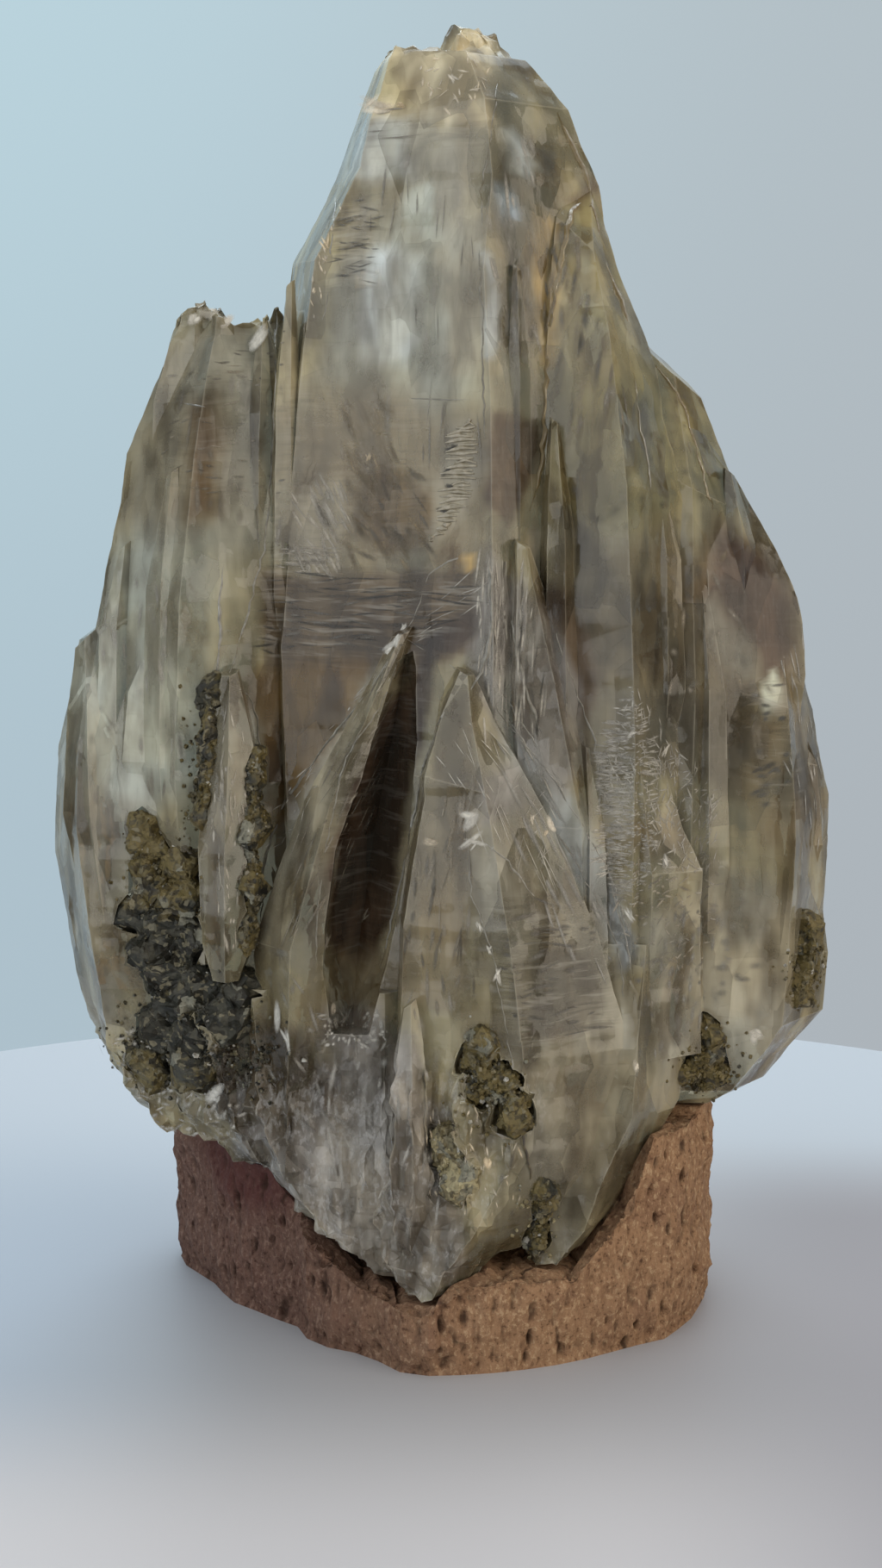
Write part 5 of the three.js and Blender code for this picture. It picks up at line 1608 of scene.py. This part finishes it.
def make_scatter(material, crystal):
    """Loose mica grains on the quartz round the mass on the left and the pockets."""
    rng = random.Random(5)
    batch = Batch(("tone", "ochre"))
    # centre x and z, half width and half height of the field, how many grains, and how ochre they are
    fields = [
        (-21.5, 26.0, 6.0, 5.0, 420, 0.4),
        (-15.5, 24.5, 3.0, 3.5, 120, 0.2),
        (-23.0, 38.0, 3.2, 5.0, 160, 1.0),
        (-20.2, 46.0, 1.0, 8.0, 60, 0.9),
        (4.0, 22.0, 3.0, 4.5, 130, 0.9),
        (8.0, 11.0, 1.8, 4.0, 60, 1.6),
        (22.0, 24.0, 3.2, 3.6, 130, 0.8),
        (30.0, 32.0, 2.4, 2.6, 140, 0.9),
    ]
    for x0, z0, half_x, half_z, count, level in fields:
        for _ in range(count):
            x, z = rng.gauss(x0, half_x * 0.45), rng.gauss(z0, half_z * 0.45)
            place, normal = crystal.front(x * MM, z * MM)
            if not place:
                continue
            direction = (normal + Vector([rng.uniform(-0.7, 0.7) for _ in range(3)])).normalized()
            radius = rng.uniform(0.05, 0.24) * MM
            seat = turned_to(direction, place - normal * radius * 0.5, rng.uniform(0, 3))
            verts = shard(batch.part, 5, radius, radius * rng.uniform(0.7, 1.6), seat, 0.6)
            batch.mark(verts, tone=rng.random() ** 3, ochre=level)
            for vert in verts:
                vert.co = kept_in(vert.co)
            batch.settle()
    linked("mica_scatter", batch.finished(), material, 35)


def make_cork(settings):
    """The cork block, with pores and crumbs, pressed against the stone in its seat; painted shade darkens its
    hollows and the cork where it meets the stone.
    """
    foot = 0.02 * MM  # what lies lower stays flat
    # the gaps to the stone at which the cork starts to lean in and has closed up, and the gap that is left
    seat, shut, left_open = 0.9 * MM, 0.5 * MM, 0.15 * MM
    mesh = merged(CORK_NODE)
    crystal = Surface(QUARTZ_NODE).tree
    sliced(mesh, CORK_NODE, (settings.cell,) * 3)
    layer = mesh.verts.layers.float.new("depth")
    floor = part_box(CORK_NODE)[0].z
    mesh.normal_update()
    shifts = []
    for vert in mesh.verts:
        p = vert.co / MM
        wide = noise.fractal(Vector((p.x, p.y, p.z * 0.4)) * 0.5, 1.0, 2.0, 3)
        grain = noise.fractal(Vector((p.x, p.y, p.z * 0.42)) * 1.3, 0.9, 2.1, 4)
        near = noise.voronoi(Vector((p.x, p.y, p.z * 0.4)) * 0.72)[0][0]
        gate = 0.5 + 0.5 * noise.noise(p * 0.3 + Vector((9, 9, 9)))
        pit = ramp(near, 0.14 + 0.34 * gate, 0.06)
        # darker in the pits and where the grain sinks in: the pores' own colour and painted shade in the
        # hollows
        vert[layer] = min(1.0, pit * 0.9 + max(0.0, -grain) * 0.9)
        shifts.append((vert, (0.18 * wide + 0.3 * grain - 0.2) * MM - pit * settings.pore))
    for vert, shift in shifts:
        if vert.co.z < floor + foot:
            continue
        place, _, _, gap = crystal.find_nearest(vert.co)
        if gap < seat:
            target = place + (place - vert.co).normalized() * left_open
            vert.co = vert.co.lerp(target, ramp(gap, seat, shut))
            # painted shade where the cork closes on the stone
            vert[layer] = max(vert[layer], 0.4 * ramp(gap, 0.6 * MM, 0.3 * MM))
        else:
            vert.co = kept_in(vert.co + vert.normal * shift)
    linked("cork_block", mesh, cork_material(settings), 60, CORK_NODE)


def make_floor(settings):
    """The round floor, with a rounded rim."""
    mesh = bmesh.new()
    thickness, rounding = 4 * MM, 1.2 * MM
    bmesh.ops.create_cone(
        mesh,
        cap_ends=True,
        segments=160,
        radius1=settings.radius,
        radius2=settings.radius,
        depth=thickness,
        matrix=Matrix.Translation((0, 0, -thickness / 2)),
    )
    rim = [edge for edge in mesh.edges if len({round(v.co.z, 5) for v in edge.verts}) == 1]
    bmesh.ops.bevel(
        mesh,
        geom=rim,
        offset=rounding,
        affect="EDGES",
        segments=3,
        profile=0.5,
        material=-1,
        clamp_overlap=True,
    )
    data = bpy.data.meshes.new("turntable")
    mesh.to_mesh(data)
    mesh.free()
    data.materials.append(floor_material(settings))
    floor = bpy.data.objects.new("turntable", data)
    bpy.context.scene.collection.objects.link(floor)


def make_lights():
    """Three soft lights, aimed at the middle of the specimen."""
    # name, place, size, power and colour
    lights = [
        ("window", (0.06, 0.42, 0.62), 0.80, 3.0, (0.80, 0.91, 1.0)),
        ("left", (-0.50, -0.50, 0.24), 0.80, 3.0, (0.95, 0.98, 1.0)),
        ("right", (0.52, -0.42, 0.20), 0.70, 3.0, (1.0, 0.90, 0.77)),
    ]
    aim = Vector((0, 0, 50 * MM))
    for name, place, size, power, colour in lights:
        lamp = bpy.data.lights.new(name, "AREA")
        lamp.energy = power
        lamp.size = size
        lamp.color = colour
        holder = bpy.data.objects.new(name, lamp)
        holder.location = place
        holder.rotation_euler = (aim - Vector(place)).to_track_quat("-Z", "Y").to_euler()
        bpy.context.scene.collection.objects.link(holder)


def make_backdrop():
    """The world: pale blue behind the specimen, greyer on the right, dark round the camera and pale above."""
    world = bpy.data.worlds.new("Backdrop")
    bpy.context.scene.world = world
    g = Graph(world)
    direction = g.value("ShaderNodeTexCoord", {}, {}, "Generated")
    axes = g.add("ShaderNodeSeparateXYZ", {}, {0: direction})
    across, along, up = (Value(g, axes.outputs[i]) for i in range(3))
    left = g.mix(up.smooth(-0.25, 0.3), (0.42, 0.53, 0.60), (0.50, 0.665, 0.735))
    right = g.mix(up.smooth(-0.25, 0.3), (0.415, 0.455, 0.49), (0.455, 0.525, 0.565))
    colour = g.mix(across.smooth(-0.22, 0.22), left, right)
    colour = g.mix(along.smooth(0.75, 0.1), colour, (0.11, 0.115, 0.12))
    colour = g.mix(up.smooth(0.35, 0.85), colour, (0.50, 0.53, 0.55))
    g.finish(g.value("ShaderNodeBackground", {}, {"Color": colour, "Strength": 1.0}))


def make_camera():
    """The camera, and how often light may bend on its way through the stone."""
    camera = bpy.data.cameras.new("camera")
    camera.sensor_width = SENSOR
    camera.lens = SENSOR * FOCAL_PIXELS / FRAME_PIXELS
    camera.clip_start = 1 * MM
    holder = bpy.data.objects.new("camera", camera)
    holder.location = EYE
    holder.rotation_euler = (math.radians(90) - TILT, 0, 0)
    bpy.context.scene.collection.objects.link(holder)
    bpy.context.scene.camera = holder
    bpy.context.scene.view_settings.view_transform = "Standard"
    cycles = bpy.context.scene.cycles
    cycles.max_bounces = 20
    cycles.transmission_bounces = 18
    cycles.transparent_max_bounces = 24


# ---------------------------------------------------------------- operators


class MINERAL_OT_quartz(bpy.types.Operator):
    """Build the quartz crystals with their growth lines, veils, seams and etching"""

    bl_idname = "mineral.quartz"
    bl_label = "Quartz crystals"

    def execute(self, context):
        settings = context.scene.mineral_quartz
        surface = Surface(QUARTZ_NODE)
        make_quartz(settings)
        make_seams(surface)
        make_marks(surface)
        make_suture(surface)
        make_veils(settings, surface)
        return {"FINISHED"}


class MINERAL_OT_mica(bpy.types.Operator):
    """Build the mica masses, seams and pockets with their flakes"""

    bl_idname = "mineral.mica"
    bl_label = "Mica"

    def execute(self, context):
        make_mica(context.scene.mineral_mica)
        return {"FINISHED"}


class MINERAL_OT_cork(bpy.types.Operator):
    """Build the cork stand with its pores and grain"""

    bl_idname = "mineral.cork"
    bl_label = "Cork stand"

    def execute(self, context):
        make_cork(context.scene.mineral_cork)
        return {"FINISHED"}


class MINERAL_OT_stage(bpy.types.Operator):
    """Build the floor, lights, backdrop and camera"""

    bl_idname = "mineral.stage"
    bl_label = "Stage"

    def execute(self, context):
        make_floor(context.scene.mineral_stage)
        make_lights()
        make_backdrop()
        make_camera()
        return {"FINISHED"}


class MINERAL_PT_sidebar(bpy.types.Panel):
    """Lists the steps that build the specimen"""

    bl_label = "Quartz with mica"
    bl_idname = "MINERAL_PT_sidebar"
    bl_space_type = "VIEW_3D"
    bl_region_type = "UI"
    bl_category = "Mineral"

    def draw(self, context):
        groups = {
            "mineral.stage": context.scene.mineral_stage,
            "mineral.cork": context.scene.mineral_cork,
            "mineral.mica": context.scene.mineral_mica,
            "mineral.quartz": context.scene.mineral_quartz,
        }
        for operator, settings in groups.items():
            box = self.layout.box()
            box.operator(operator)
            for key in settings.__annotations__:
                box.prop(settings, key)


SETTINGS = {
    "mineral_quartz": QuartzSettings,
    "mineral_mica": MicaSettings,
    "mineral_cork": CorkSettings,
    "mineral_stage": StageSettings,
}
CLASSES = (
    *SETTINGS.values(),
    MINERAL_OT_quartz,
    MINERAL_OT_mica,
    MINERAL_OT_cork,
    MINERAL_OT_stage,
    MINERAL_PT_sidebar,
)


def register():
    for cls in CLASSES:
        bpy.utils.register_class(cls)
    for name, group in SETTINGS.items():
        setattr(bpy.types.Scene, name, PointerProperty(type=group))


def unregister():
    for name in SETTINGS:
        delattr(bpy.types.Scene, name)
    for cls in reversed(CLASSES):
        bpy.utils.unregister_class(cls)


def main():
    register()
    bpy.ops.mineral.stage()
    bpy.ops.mineral.cork()
    bpy.ops.mineral.mica()
    bpy.ops.mineral.quartz()


if __name__ == "__main__":
    main()
